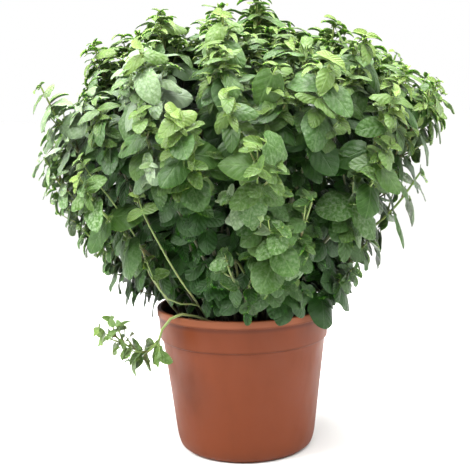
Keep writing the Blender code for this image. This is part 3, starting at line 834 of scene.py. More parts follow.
class Thicket:
    """What has grown so far, kept by place, so that a new leaf is tested against its neighbours alone."""

    def __init__(self, obstacles, plans, outer):
        self.obstacles, self.outer = obstacles, outer
        self.cells = defaultdict(list)
        points, faces, self.owners = [], [], []
        for plan in plans:
            line, radii = plan.lines[0]
            more, strips = ribbons(line, radii[1])
            faces += [tuple(len(points) + corner for corner in strip) for strip in strips]
            points += more
            self.owners += [plan.name] * len(strips)
        self.stems = BVHTree.FromPolygons(points, faces)

    def add(self, leaf):
        tree = BVHTree.FromPolygons(*plate(leaf))
        middle = leaf_point(leaf, LEAF_MIDDLE, 0.0, 0.0)
        self.cells[cell_of(middle)].append((leaf, middle, tree))

    def near(self, point):
        x, y, z = cell_of(point)
        for i in (x - 1, x, x + 1):
            for j in (y - 1, y, y + 1):
                for k in (z - 1, z, z + 1):
                    yield from self.cells.get((i, j, k), ())

    def free(self, leaf, owner):
        """Whether a leaf stays within the bush and crosses nothing but the stem that it grows on."""
        points, faces = plate(leaf)
        beyond = OUTER_BEYOND if owner in self.outer else INNER_BEYOND
        if owner != "trailing_stem" and min(inside(points[-1]), inside(points[-4])) < -beyond:
            return False
        tree = BVHTree.FromPolygons(points, faces)
        if any(tree.overlap(obstacle) for obstacle in self.obstacles):
            return False
        if any(self.owners[strip] != owner for _, strip in tree.overlap(self.stems)):
            return False
        middle = leaf_point(leaf, LEAF_MIDDLE, 0.0, 0.0)
        for other, place, grown in self.near(middle):
            close = (place - middle).length < NEIGHBOUR_REACH * (other.length + leaf.length)
            if close and other.root != leaf.root and tree.overlap(grown):
                return False
        return True

    def grow(self, root, growth, outward, length, seed, owner):
        """Adds the leaf in the first of a few attempts that is free, and returns it or nothing."""
        level = near_top(root)
        hang = 1.0 - LEVEL_HANG * level
        for attempt in range(0, 2 * SPARE_TRIES, 2):
            leaf = leaf_at(root, growth, outward, length, random.Random(seed), attempt, hang)
            young = 0.0 if owner == "trailing_stem" else max(0.0, 1.0 - leaf.length / GROWN_LEAF)
            arch = leaf.arch + YOUNG_ARCH * young * (1.0 - young) + TOP_ARCH * level
            width = leaf.width * (1.0 - YOUNG_NARROWING * young) * (1.0 - TOP_NARROWING * level)
            leaf = leaf._replace(arch=arch, width=width)
            if self.free(leaf, owner):
                self.add(leaf)
                return leaf
        return None

    def grow_pair(self, root, growth, ways, length, seed, owner):
        """Adds the leaves of a pair that find room, and returns them."""
        pair = []
        for side, way in enumerate(ways):
            leaf = self.grow(root, growth, way, length, f"{seed} leaf {side}", owner)
            if leaf:
                pair.append(leaf)
        return pair


def length_of(line):
    return sum((b - a).length for a, b in zip(line, line[1:]))


def along_line(line, distance):
    """The point at a distance below the line's end, and the direction of growth there."""
    left = distance
    for upper, lower in zip(line[::-1], line[-2::-1]):
        step = (upper - lower).length
        if step >= left:
            break
        left -= step
    return upper.lerp(lower, min(left / step, 1.0)), (upper - lower).normalized()


def cut_back(line, place):
    """A line that ends at a place on it, where its uppermost leaves stand."""
    reached = (place - line[0]).length - STEM_END_SPARE
    return [point for point in line if (point - line[0]).length < reached] + [place]


def crosswise(growth, turn, number):
    """The ways of the two leaves of a pair, square to the growth and to the pair before."""
    across = growth.cross(ASIDE).normalized()
    return [Quaternion(growth, turn + math.pi * (0.5 * number + side)) @ across for side in (0, 1)]


def fine_line(points):
    """A smooth line through the same points, in shorter steps."""
    knots = [2.0 * points[0] - points[1], *points, 2.0 * points[-1] - points[-2]]
    line = [points[0]]
    for a, b, c, d in zip(knots, knots[1:], knots[2:], knots[3:]):
        steps = max(1, round((c - b).length / FINE_STEP))
        line += bezier(b, b + (c - a) / 6.0, c - (d - b) / 6.0, c, steps)[1:]
    return line


def angles_of(tip):
    """The angle of a tip from the vertical and its turn about the crown."""
    away = tip - CROWN
    return math.acos(away.z / away.length), math.atan2(away.y, away.x)


def filling_line(number, tip, attempt):
    """A stem from the potting mix up to a tip, with its foot on the tip's side."""
    draw = random.Random(f"filling {number} attempt {attempt}")
    polar, azimuth = angles_of(tip)
    foot_turn = azimuth + draw.uniform(-FILLING_FOOT_TURN, FILLING_FOOT_TURN)
    foot = round_axis(FILLING_BASE * math.sqrt(draw.uniform(*FILLING_FOOT_SHARES)), foot_turn, SOIL_LEVEL)
    start = direction(LEAN_SHARE * polar, azimuth + draw.uniform(-FILLING_LEAN_TURN, FILLING_LEAN_TURN))
    return rooted(foot, start, tip, upturned(polar, azimuth), 2 * STEM_SPANS)


def filling_tips():
    """Where the filling stems end: the named tips, then even ones over the dome and round its foot."""
    tips = [Vector(place) * MM for place in OUTER_TIPS]
    for number, polar in enumerate(even_polars(FILLING_COUNT)):
        draw = random.Random(f"filling tip {number}")
        turn = draw.uniform(-FILLING_TURN_SPREAD, FILLING_TURN_SPREAD)
        azimuth = FILLING_TURN + number * GOLDEN_ANGLE + turn
        tips.append(CROWN + reach(polar) * draw.uniform(*FILLING_REACH) * direction(polar, azimuth))
    for number in range(FILLING_LOW_COUNT):
        draw = random.Random(f"low filling tip {number}")
        azimuth = math.tau * (number + draw.random()) / FILLING_LOW_COUNT
        out, height = (draw.uniform(*spread) * MM for spread in (FILLING_LOW_REACH, FILLING_LOW_HEIGHTS))
        tips.append(round_axis(out, azimuth, height))
    return tips


def branch_line(tip, parent, k):
    """A branch to a tip from the k-th point of another stem's line."""
    start, handle = parent[k], HANDLE_SHARE * (tip - parent[k]).length
    first = ((start - parent[k - 1]).normalized() + BRANCH_BEND * (tip - start).normalized()).normalized()
    last = upturned(*angles_of(tip))
    return bezier(start, start + handle * first, tip - handle * last, tip, 2 * STEM_SPANS)


def branch_starts(tip, grown):
    """The best place on each stem for a branch to a tip, the best stems first."""
    found = []
    for parent, _ in grown:
        places = []
        for k in range(2, len(parent) - 1):
            way = tip - parent[k]
            agree = way.normalized().dot((parent[k] - parent[k - 1]).normalized())
            if BRANCH_SPAN[0] < way.length < BRANCH_SPAN[1] and agree > BRANCH_AGREES:
                places.append((agree, k))
        if places:
            agree, k = max(places)
            found.append((agree, parent, k))
    return sorted(found, key=lambda one: -one[0])[:FILLING_TRIES]


def filling_lines(stems, bare):
    """The filling stems' lines: each from the potting mix where it can, or else a branch of another stem."""
    grown = [(fine_line(stem.line), tube_tree(stem, MAIN_ROOM)) for stem in stems]
    blocked = [BVHTree.FromPolygons(*ribbons(line, BARE_ROOM * BARE_RADII[0])) for line in bare]
    lines = []
    for number, tip in enumerate(filling_tips()):
        while inside(tip) < 0.0:
            tip = CROWN.lerp(tip, PULL_IN)
        tries = [(filling_line(number, tip, k), None) for k in range(FILLING_TRIES)]
        if number < len(OUTER_TIPS) or tip.z > BRANCH_LOWEST:
            tries += [(branch_line(tip, parent, k), parent) for _, parent, k in branch_starts(tip, grown)]
        for line, parent in tries:
            tree = BVHTree.FromPolygons(*ribbons(line, FILLING_ROOM * FILLING_RADII[0]))
            if any(tree.overlap(other) for other in blocked):
                continue
            if not any(tree.overlap(other) for owner, other in grown if owner is not parent):
                lines.append(line)
                grown.append((line, tree))
                break
    return lines


def curtain(line):
    """Faces from a line towards the front, which keep later leaves from hiding what the line follows."""
    front = Vector((0.0, -CURTAIN_DEPTH, CURTAIN_RISE * CURTAIN_DEPTH))
    start = CURTAIN_START * front
    points, faces = [], []
    for a, b in zip(line, line[1:]):
        first = len(points)
        points += [a + start, b + start, b + front, a + front]
        faces.append((first, first + 1, first + 2, first + 3))
    return BVHTree.FromPolygons(points, faces)


def shown_leaf(thicket, number, middle, length, lines):
    """A large leaf that faces the front, on whichever stem passes at the right distance behind it."""
    middle, length = Vector(middle) * MM, length * MM
    best = None
    for name, line in lines.items():
        for place in line:
            miss = abs((place - middle).length - SHOWN_AWAY * length)
            miss += max(0.0, SHOWN_LIFT * length - (place.z - middle.z)) + max(0.0, middle.y - place.y)
            if best is None or miss < best[0]:
                best = (miss, name, place)
    miss, name, root = best
    if miss > SHOWN_MISS * length:
        return None
    thicket.outer.add(name)
    draw = random.Random(f"shown leaf {number}")
    turned, ahead, up = SHOWN_FACING
    heading = (middle + SHOWN_RISE * length * UP - root).normalized()
    base = leaf_frame(heading, Vector((draw.uniform(-turned, turned), ahead, up)))
    width = SHOWN_WIDTH * length * (1.0 - PETIOLE_SHARE)
    for attempt in range(BEND_TRIES):
        strength = SHOWN_BEND * LARGEST_BEND * attempt / BEND_TRIES
        frame = base
        for axis in "ZXY":
            frame = frame @ Matrix.Rotation(strength * draw.uniform(-1.0, 1.0), 3, axis)
        leaf = Leaf(root, frame, length, width, PETIOLE_SHARE, draw.uniform(*SHOWN_ARCH))
        if thicket.free(leaf, name):
            thicket.add(leaf)
            thicket.obstacles.append(curtain([leaf_point(leaf, share, 0.0, 0.0) for share in CURTAIN_SHARES]))
            return name, leaf
    return None


def shown_shoot(thicket, number, tip, lines):
    """A young shoot on the front, from the nearest stem below and behind its tip."""
    tip = Vector(tip) * MM
    found = []
    for name, line in lines.items():
        for k in range(1, len(line)):
            way = tip - line[k]
            if way.y < -SHOWN_FORWARD * way.length and way.z > 0.0 and way.length < SHOWN_REACH:
                found.append((abs(way.length - SHOWN_LENGTH), name, k))
    for _, name, k in sorted(found)[:SPARE_TRIES]:
        thicket.outer.add(name)
        root, growth = lines[name][k], (lines[name][k] - lines[name][k - 1]).normalized()
        way = tip - root
        line, leaves = side_shoot(
            thicket, f"shown shoot {number}", root, growth, way.normalized(), way.length, name
        )
        if len(leaves) >= SHOWN_LEAST:
            thicket.obstacles.append(curtain([place + SHOWN_AHEAD * way for place in line[0]]))
            return name, line, leaves
    return None


def side_shoot(thicket, name, root, growth, outward, length, owner):
    """A shoot from a leaf's axil, with its small opposite leaves."""
    draw = random.Random(name)
    away = Vector((root.x, root.y, 0.0)).normalized()
    start = (growth + draw.uniform(*SHOOT_OUT) * outward).normalized()
    end = (start + draw.uniform(*SHOOT_UP) * UP + SHOOT_AWAY * away).normalized()
    tip, handle = root + 0.5 * length * (start + end), HANDLE_SHARE * length
    line = bezier(root, root + handle * start, tip - handle * end, tip, SHOOT_STEPS)
    size = draw.uniform(*SHOOT_SIZE)
    turn = draw.uniform(0.0, math.tau)
    leaves, top = [], None
    for number, (distance, leaf_length) in enumerate(SHOOT_PAIRS):
        if distance * MM > SHOOT_LEAFY * length:
            break
        place, way = along_line(line, distance * MM)
        ways, seed = crosswise(way, turn, number), f"{name} pair {number}"
        pair = thicket.grow_pair(place, way, ways, size * leaf_length * MM, seed, owner)
        if pair:
            leaves += pair
            top = top or place
    return (cut_back(line, top), SHOOT_RADII) if leaves else None, leaves


def shoots_of(thicket, name, nodes, spare):
    """The side shoots in the axils of a stem's leaf pairs, more of them near the top of the bush."""
    lines, leaves = [], []
    for number, (distance, root, growth, ways) in enumerate(nodes):
        if depth_in_bush(root) > SHOOT_DEEPEST:
            continue
        for side, outward in enumerate(ways):
            draw = random.Random(f"{name} axil {number} side {side}")
            high = smooth((root.z - SHOOT_RISE) / SHOOT_RISE_SPAN)
            chance = SHOOT_CHANCE[1] + (SHOOT_CHANCE[0] - SHOOT_CHANCE[1]) * high
            length = min(distance * draw.uniform(*SHOOT_SHARE), SHOOT_SPAN[1]) * spare
            if name == "trailing_stem":
                chance, length = 1.0, draw.uniform(*SPRIG_SHOOT)
            if draw.random() > chance or length < SHOOT_SPAN[0]:
                continue
            seed = f"{name} shoot {number} {side}"
            line, more = side_shoot(thicket, seed, root, growth, outward, length, name)
            if line:
                lines.append(line)
                leaves += more
    return lines, leaves


def pairs_down(name, line, pairs):
    """Leaf pairs from a stem's tip down: the given ones first, then even ones down the whole stem."""
    draw = random.Random(f"{name} pairs")
    size = draw.uniform(*SIZE_SPREAD)
    turn = draw.uniform(0.0, math.tau)
    found = [(size * distance * MM, size * length * MM) for distance, length in pairs]
    last = found[-1][0]
    while last < length_of(line):
        last += DEEP_STEP * draw.uniform(*DEEP_STEP_SPREAD)
        found.append((last, draw.uniform(*DEEP_LENGTHS)))
    return turn, found


def outer_stems(stems, fills):
    """The stems that end in the bush's outline, whose leaves may stand out past it a little."""
    tips = [Vector(place) * MM for place in OUTER_TIPS]
    near = {
        name
        for name, line in fills.items()
        if min((line[-1] - tip).length for tip in tips) < OUTER_TIP_NEAR
    }
    return near | {stem.name for stem in stems if inside(stem.line[-1]) < OUTER_STEM_INSIDE}


def grow_shown(thicket, plans, lines):
    """The large leaves and the young shoots that are shown on the front."""
    for number, (middle, length) in enumerate(SHOWN_LEAVES):
        found = shown_leaf(thicket, number, middle, length, lines)
        if found:
            plans[found[0]].leaves.append(found[1])
    for number, tip in enumerate(SHOWN_SHOOTS):
        found = shown_shoot(thicket, number, tip, lines)
        if found:
            plans[found[0]].lines.append(found[1])
            plans[found[0]].leaves.extend(found[2])


def grow_crowns(thicket, plans, stems):
    """The small crosswise pairs at and just below each main stem's tip."""
    for stem in stems:
        if stem.name in WEAK_STEMS:
            continue
        for number, (distance, length) in enumerate(CROWN_PAIRS):
            root, growth, outward = at_from_tip(stem, distance * MM, 1 - number % 2)
            ways, seed = (outward, -outward), f"{stem.name} crown {number}"
            pair = thicket.grow_pair(root, growth, ways, length * MM, seed, stem.name)
            plans[stem.name].leaves.extend(pair)


def grow_down(thicket, plans, axils, bare):
    """The pairs further down each stem. A stem that isn't in the frame gets all of its pairs here."""
    for name, plan in plans.items():
        if name in WEAK_STEMS:
            continue
        line, radii = plan.lines[0]
        polar = math.acos((line[-1] - CROWN).normalized().z)
        pairs = BARE_PAIRS if name in bare else SIDE_PAIRS if polar > SIDE_START else TOP_PAIRS
        own = bool(axils[name])
        turn, found = pairs_down(name, line, [(axils[name][-1][0] / MM, 0.0)] if own else pairs)
        top = None
        for number, (distance, length) in enumerate(found[own:]):
            place, way = along_line(line, distance)
            if name in bare and number >= len(BARE_PAIRS):
                break
            if place.z < DEEP_FLOOR or depth_in_bush(place) > DEEPEST:
                break
            ways = crosswise(way, turn, number)
            pair = thicket.grow_pair(place, way, ways, length, f"{name} deep {number}", name)
            if pair:
                plan.leaves.extend(pair)
                top = top or place
            if top or name in bare:
                axils[name].append((min(distance, SHOOT_FARTHEST), place, way, ways))
        if top and name.startswith("filling_stem"):
            plan.lines[0] = (cut_back(line, top), radii)


@lru_cache(maxsize=1)
def bush_plans(spare):
    """Every stem with its lines and leaves, in the order in which they grow. Spare scales the side shoots."""
    pot = pot_obstacle()
    stems = all_stems()
    leaves = main_leaves(stems, pot)
    routes = [[Vector(point) * MM for point in route] for route in BARE_ROUTES]
    bare = {f"bare_stem_{k + 1}": fine_line(route) for k, route in enumerate(routes)}
    fills = {f"filling_stem_{k + 1:02d}": line for k, line in enumerate(filling_lines(stems, bare.values()))}
    plans = {}
    for stem in stems:
        drawn = [trimmed(leaf, stem.name == "trailing_stem") for leaf in leaves[stem.name]]
        plans[stem.name] = Plan(stem.name, [(fine_line(stem.line), stem.radii)], drawn, stem.name)
    for lines, radii in ((bare, BARE_RADII), (fills, FILLING_RADII)):
        plans.update({name: Plan(name, [(line, radii)], [], None) for name, line in lines.items()})

    hanging = plans["hanging_stem"].lines[0][0]
    obstacles = [pot, curtain(hanging[3:-2])] + [curtain(line[4:]) for line in bare.values()]
    thicket = Thicket(obstacles, plans.values(), outer_stems(stems, fills))
    for stem in stems:
        for leaf in leaves[stem.name]:
            thicket.add(leaf)
    axils = defaultdict(list)
    for stem in stems:
        for number, (distance, _) in enumerate(stem.pairs):
            distance *= MM * stem.size
            root, growth, outward = at_from_tip(stem, distance, number % 2)
            axils[stem.name].append((distance, root, growth, (outward, -outward)))

    # The grown leaves come before the side shoots, as they need the most room
    grow_shown(thicket, plans, {name: plan.lines[0][0] for name, plan in plans.items() if name not in bare})
    grow_crowns(thicket, plans, stems)
    grow_down(thicket, plans, axils, bare)
    for name, plan in plans.items():
        weak = name in WEAK_STEMS or name in bare
        more_lines, more = shoots_of(thicket, name, axils[name], WEAK_SHOOTS if weak else spare)
        plan.lines.extend(more_lines)
        plan.leaves.extend(more)
    return list(plans.values())


# Leaf blanks: one closed, thin leaf of each kind at unit size, which the foliage tree lays, bends and turns


def blade_share(t, base, tip):
    """The blade's width as a share of its widest, by how fast it widens and then narrows to the tip."""
    widest = base / (base + tip)
    return (t / widest) ** base * ((1.0 - t) / (1.0 - widest)) ** tip


def leaf_blank(number, kind):
    """A leaf of unit length and width: a closed, lens-shaped plate with midrib, stalk and wavy margin."""
    draw = random.Random(f"leaf blank {number}")
    petiole, stalk = STALK_SHARE[kind], STALK_WIDTH[kind]
    grown = kind == "grown"
    base, narrow = draw.uniform(*FINE_BASE), draw.uniform(*FINE_TIP)
    fold = draw.uniform(*(GROWN_FOLD if grown else SMALL_FOLD))
    dome = draw.uniform(*GROWN_DOME) if grown else SMALL_DOME
    lobe = draw.uniform(*GROWN_LOBE) if grown else SMALL_LOBE
    wave = draw.uniform(*GROWN_WAVE) if grown else SMALL_WAVE
    phase, skew = draw.random(), draw.uniform(-BLADE_SKEW, BLADE_SKEW)
    columns = GROWN_COLUMNS if grown else SMALL_COLUMNS
    points, uvs, stalks = [(0.0, -0.02, 0.0)], [(0.5, 0.0)], [1.0]
    tops, unders = [[0] * len(columns)], [[0] * 3]

    def add_row(y, across, is_stalk):
        """A row of points, each as x, a shift along the leaf, the upper face's z and the thickness."""
        top, under = [], []
        for column in columns:
            x, shift, z, body = across(column)
            top.append(len(points))
            points.append((x, y + shift, z))
            if column == 0.0:
                under.append(len(points))
                points.append((x, y + shift, z - body))
            elif abs(column) == 1.0:
                under.append(top[-1])
        new = len(points) - len(uvs)
        uvs.extend((0.5 + point[0], point[1]) for point in points[-new:])
        stalks.extend([is_stalk] * new)
        tops.append(top)
        unders.append(under)

    def across_stalk(column):
        return column * stalk, 0.0, STALK_RISE * stalk * (1.0 - column * column), 2.0 * STALK_RISE * stalk

    def across_blade(t, column):
        share = blade_share(t, base, narrow)
        edge = abs(column)
        z = BLADE_RISE * share * (fold * edge - dome * edge * edge)
        ripple = math.sin(math.tau * (WAVES * t + phase) + (WAVE_OFFSET if column > 0.0 else 0.0))
        z += 0.5 * wave * share * edge**3 * ripple
        if column == 0.0:
            z -= MIDRIB_SINK
        x = 0.5 * column * share + skew * t * t * (1.0 - t)
        return x, -lobe * edge**2 * (1.0 - t) ** 5, z, TIP_BODY + BASE_BODY * (1.0 - t)

    if kind != "tiny":
        for share in STALK_ROWS:
            add_row(share * petiole, across_stalk, 1.0)
    for t in BLADE_ROWS[kind]:
        add_row(petiole + (1.0 - petiole) * t, partial(across_blade, t), 0.0)
    tip = len(points)
    points.append((0.0, 1.0, -TIP_SINK))
    uvs.append((0.5, 1.0))
    stalks.append(0.0)
    tops.append([tip] * len(columns))
    unders.append([tip] * 3)
    faces, flags = [], []
    for side, rows in enumerate((tops, unders)):
        for low, high in zip(rows, rows[1:]):
            for k in range(len(low) - 1):
                quad = [low[k], low[k + 1], high[k + 1], high[k]]
                face = list(dict.fromkeys(quad[::-1] if side else quad))
                if len(face) > 2:
                    faces.append(face)
                    flags.append(float(side))
    mesh = bpy.data.meshes.new(f"leaf_blank_{number:02d}")
    mesh.from_pydata(points, [], faces)
    layer = mesh.uv_layers.new(name="UVMap")
    for loop in mesh.loops:
        layer.data[loop.index].uv = uvs[loop.vertex_index]
    mesh.attributes.new("underside", "FLOAT", "FACE").data.foreach_set("value", flags)
    mesh.attributes.new("stalk", "FLOAT", "POINT").data.foreach_set("value", stalks)
    mesh.shade_smooth()
    margins = {row[k] for row in tops for k in (0, -1)}
    sharp = [edge.vertices[0] in margins and edge.vertices[1] in margins for edge in mesh.edges]
    mesh.attributes.new("sharp_edge", "BOOLEAN", "EDGE").data.foreach_set("value", sharp)
    return mesh


def leaf_blanks():
    """A hidden collection of all the leaf blanks, in the order of KINDS."""
    home = bpy.data.collections.new("leaf_blanks")
    for number, kind in enumerate(KINDS):
        home.objects.link(bpy.data.objects.new(f"leaf_blank_{number:02d}", leaf_blank(number, kind)))
    return home


def blank_for(length, draw):
    """The number of a leaf blank that suits a leaf's length."""
    kind = "grown" if length > GROWN_BLANK else "young" if length > YOUNG_BLANK else "tiny"
    return KINDS.index(kind) + draw.randrange(KINDS.count(kind))


def foliage_tree(leaf_look, stem_look):
    """Geometry Nodes: a leaf laid on each leaf point and a square tube along each line of edges."""
    tree, add, inputs = geometry_tree("foliage", blanks="Collection", thickness="Float")
    # The stored values that the tree reads: the others are for the materials
    told = {
        name: add("GeometryNodeInputNamedAttribute", {"Name": name}, data_type=kind)
        for name, (kind, _) in STORED.items()
        if name not in FOLIAGE_READS
    }
    is_leaf, measure = told["is_leaf"], told["measure"]
    leaf_points = add("GeometryNodeSeparateGeometry", {0: inputs["Geometry"], 1: is_leaf}, domain="POINT")
    stem_lines = leaf_points.node.outputs[1]

    # Leaves: laid out at the origin first, then bent on an arc, turned and moved to their roots
    gathered = add("GeometryNodeSetPosition", {"Geometry": leaf_points, "Position": (0.0, 0.0, 0.0)})
    blanks = add(
        "GeometryNodeCollectionInfo",
        {"Collection": inputs["blanks"], "Separate Children": True, "Reset Children": True},
    )
    laid = add(
        "GeometryNodeInstanceOnPoints",
        {"Points": gathered, "Instance": blanks, "Pick Instance": True, "Instance Index": told["kind"]},
    )
    single = add("GeometryNodeRealizeInstances", {0: laid})
    flat = add("GeometryNodeInputPosition")
    along = add("ShaderNodeSeparateXYZ", {0: flat}).node.outputs["Y"]
    length = add("ShaderNodeSeparateXYZ", {0: measure}).node.outputs["Y"]
    sized = add("ShaderNodeVectorMath", {0: flat, 1: measure}, operation="MULTIPLY")
    section = add("ShaderNodeVectorMath", {0: sized, 1: (1.0, 0.0, 1.0)}, operation="MULTIPLY")
    bend = add("ShaderNodeMath", {0: told["arch"], 1: along}, operation="MULTIPLY")
    back = add("ShaderNodeMath", {0: bend, 1: -1.0}, operation="MULTIPLY")
    radius = add("ShaderNodeMath", {0: length, 1: told["arch"]}, operation="DIVIDE")
    sine = add("ShaderNodeMath", {0: bend}, operation="SINE")
    cosine = add("ShaderNodeMath", {0: bend}, operation="COSINE")
    fall = add("ShaderNodeMath", {0: cosine, 1: 1.0}, operation="SUBTRACT")
    run = add("ShaderNodeMath", {0: radius, 1: sine}, operation="MULTIPLY")
    drop = add("ShaderNodeMath", {0: radius, 1: fall}, operation="MULTIPLY")
    spine = add("ShaderNodeCombineXYZ", {"Y": run, "Z": drop})
    twist = add("ShaderNodeMath", {0: told["twist"], 1: along}, operation="MULTIPLY")
    twisted = add("ShaderNodeVectorRotate", {"Vector": section, "Angle": twist}, rotation_type="Y_AXIS")
    tilted = add("ShaderNodeVectorRotate", {"Vector": twisted, "Angle": back}, rotation_type="X_AXIS")
    bent = add("ShaderNodeVectorMath", {0: spine, 1: tilted}, operation="ADD")
    turned = add("FunctionNodeRotateVector", {0: bent, 1: told["turn"]})
    placed = add("ShaderNodeVectorMath", {0: turned, 1: told["root"]}, operation="ADD")
    leaves = add("GeometryNodeSetPosition", {"Geometry": single, "Position": placed})

    # Stems: a square tube along each line
    lines = add("GeometryNodeMeshToCurve", {0: stem_lines})
    wide = add("ShaderNodeMath", {0: told["thick"], 1: inputs["thickness"]}, operation="MULTIPLY")
    square = add("GeometryNodeCurvePrimitiveQuadrilateral", {"Width": 1.7, "Height": 1.7})
    tubes = add(
        "GeometryNodeCurveToMesh", {"Curve": lines, "Profile Curve": square, "Scale": wide, "Fill Caps": True}
    )
    stems = add("GeometryNodeSetShadeSmooth", {"Geometry": tubes})

    both = add("GeometryNodeJoinGeometry")
    for part in (stems, leaves):
        tree.links.new(part, both.node.inputs[0])
    whole = add("GeometryNodeRealizeInstances", {0: both})
    stemmed = add("GeometryNodeSetMaterial", {"Geometry": whole, "Material": stem_look})
    leafed = add(
        "GeometryNodeSetMaterial", {"Geometry": stemmed, "Selection": is_leaf, "Material": leaf_look}
    )
    add("NodeGroupOutput", {0: leafed})
    return tree


def painted_shade_at(point):
    """Painted shade: from 0 in full light to 1 deep in the bush or close above the pot, where leaves and
    stems are painted darker.
    """
    low = 1.0 - smooth((point.z - POT_HEIGHT) / DARK_HEIGHT)
    return min(1.0, smooth(depth_in_bush(point) / DARK_DEPTH) + low)


def down_and_sheen_at(point):
    """How thick the down and its painted sheen are on a leaf: 1 in the middle of a downy shoot and 0 away
    from them all.
    """
    nearest = max(1.0 - (point - Vector(place) * MM).length / (span * MM) for *place, span in DOWNY_SHEEN_SHOOTS)
    return smooth(DOWN_SHEEN_RISE * nearest)


def plan_mesh(plans):
    """The lines and leaf points of some stems, with what the foliage tree and the materials read."""
    points, edges, values = [], [], defaultdict(list)

    def put(place, **told):
        points.append(tuple(place))
        for name, (_, empty) in STORED.items():
            values[name].append(told.get(name, empty))

    low, high = SHADE_HEIGHTS
    for plan in plans:
        draw = random.Random(f"{plan.name} looks")
        tone = draw.random()
        in_light = plan.name.startswith(LIT_STEMS)
        young_in_light = in_light and plan.name != "hanging_stem"
        for line, radii in plan.lines:
            for i, place in enumerate(line):
                share = i / (len(line) - 1)
                if i:
                    edges.append((len(points) - 1, len(points)))
                thick = radii[0] + share * (THIN_TIP * radii[1] - radii[0])
                # Painted shade along the stems, little on those that stand in the light
                shade = LIT_SHADE if in_light else painted_shade_at(place)
                put(place, thick=thick, age=1.0 - share, tone=tone, shade=shade)
        for leaf in plan.leaves:
            # The down's silver, partly painted sheen, makes a leaf look grown and lifts its tone
            down_and_sheen = down_and_sheen_at(leaf.root)
            grown = max(smooth((leaf.length - NEWEST_LEAF) / GROWING_SPAN), down_and_sheen)
            if noise.noise(leaf.root / YOUNG_PATCH) < YOUNG_LEVEL:
                shaded = 1.0 - smooth((leaf.root.z - low) / (high - low))
                grown = max(grown, SPRIG_AGE if young_in_light else shaded)
            # Each leaf with its painted shade, little on the trailing and bare stems' leaves, which stand in
            # the light
            put(
                leaf.root, is_leaf=True, root=tuple(leaf.root), turn=tuple(leaf.frame.to_quaternion()),
                measure=(leaf.width, leaf.length, leaf.length), arch=leaf.arch,
                twist=draw.uniform(-TWIST_SPREAD, TWIST_SPREAD), kind=blank_for(leaf.length, draw),
                age=min(1.0, max(0.0, grown + draw.uniform(-AGE_SPREAD, AGE_SPREAD))),
                tone=LEAF_TONE * draw.random() + STEM_TONE * tone + DOWN_SHEEN_TONE * down_and_sheen,
                shade=LIT_SHADE if young_in_light else painted_shade_at(leaf.root),
            )
    mesh = bpy.data.meshes.new("foliage_plan")
    mesh.from_pydata(points, edges, [])
    for name, (kind, _) in STORED.items():
        made = mesh.attributes.new(name, kind, "POINT")
        field = "vector" if kind == "FLOAT_VECTOR" else "value"
        made.data.foreach_set(field, np.array(values[name]).ravel())
    return mesh


def baked(holder):
    """The object's evaluated mesh with its modifiers gone."""
    graph = bpy.context.evaluated_depsgraph_get()
    graph.update()
    mesh = bpy.data.meshes.new_from_object(holder.evaluated_get(graph), depsgraph=graph)
    mesh.name = holder.name
    old = holder.data
    holder.modifiers.clear()
    holder.data = mesh
    bpy.data.meshes.remove(old)
    return holder


def with_tree(name, mesh, tree, inputs):
    """An object whose mesh goes through a node tree, with the tree's inputs set by their names."""
    holder = new_object(name, mesh)
    modifier = holder.modifiers.new("Tree", "NODES")
    modifier.node_group = tree
    for socket in tree.interface.items_tree:
        if socket.in_out == "INPUT" and socket.name in inputs:
            modifier[socket.identifier] = inputs[socket.name]
    return baked(holder)


def foliage_piece(name, plans, tree, blanks, thickness):
    """Some stems in leaf as one piece, with no more attributes than its materials read."""
    piece = with_tree(name, plan_mesh(plans), tree, {"blanks": blanks, "thickness": thickness})
    for extra in [one.name for one in piece.data.attributes]:
        if extra not in FOLIAGE_READS and not extra.startswith("."):
            piece.data.attributes.remove(piece.data.attributes[extra])
    return piece


# Materials


def shader_of(name, values):
    """A new material with its tree and its shader, whose constants are set by the names of its sockets."""
    look = bpy.data.materials.new(name)
    look.use_nodes = True
    shader = look.node_tree.nodes["Principled BSDF"]
    for socket, value in values.items():
        shader.inputs[socket].default_value = value
    return look, look.node_tree, shader


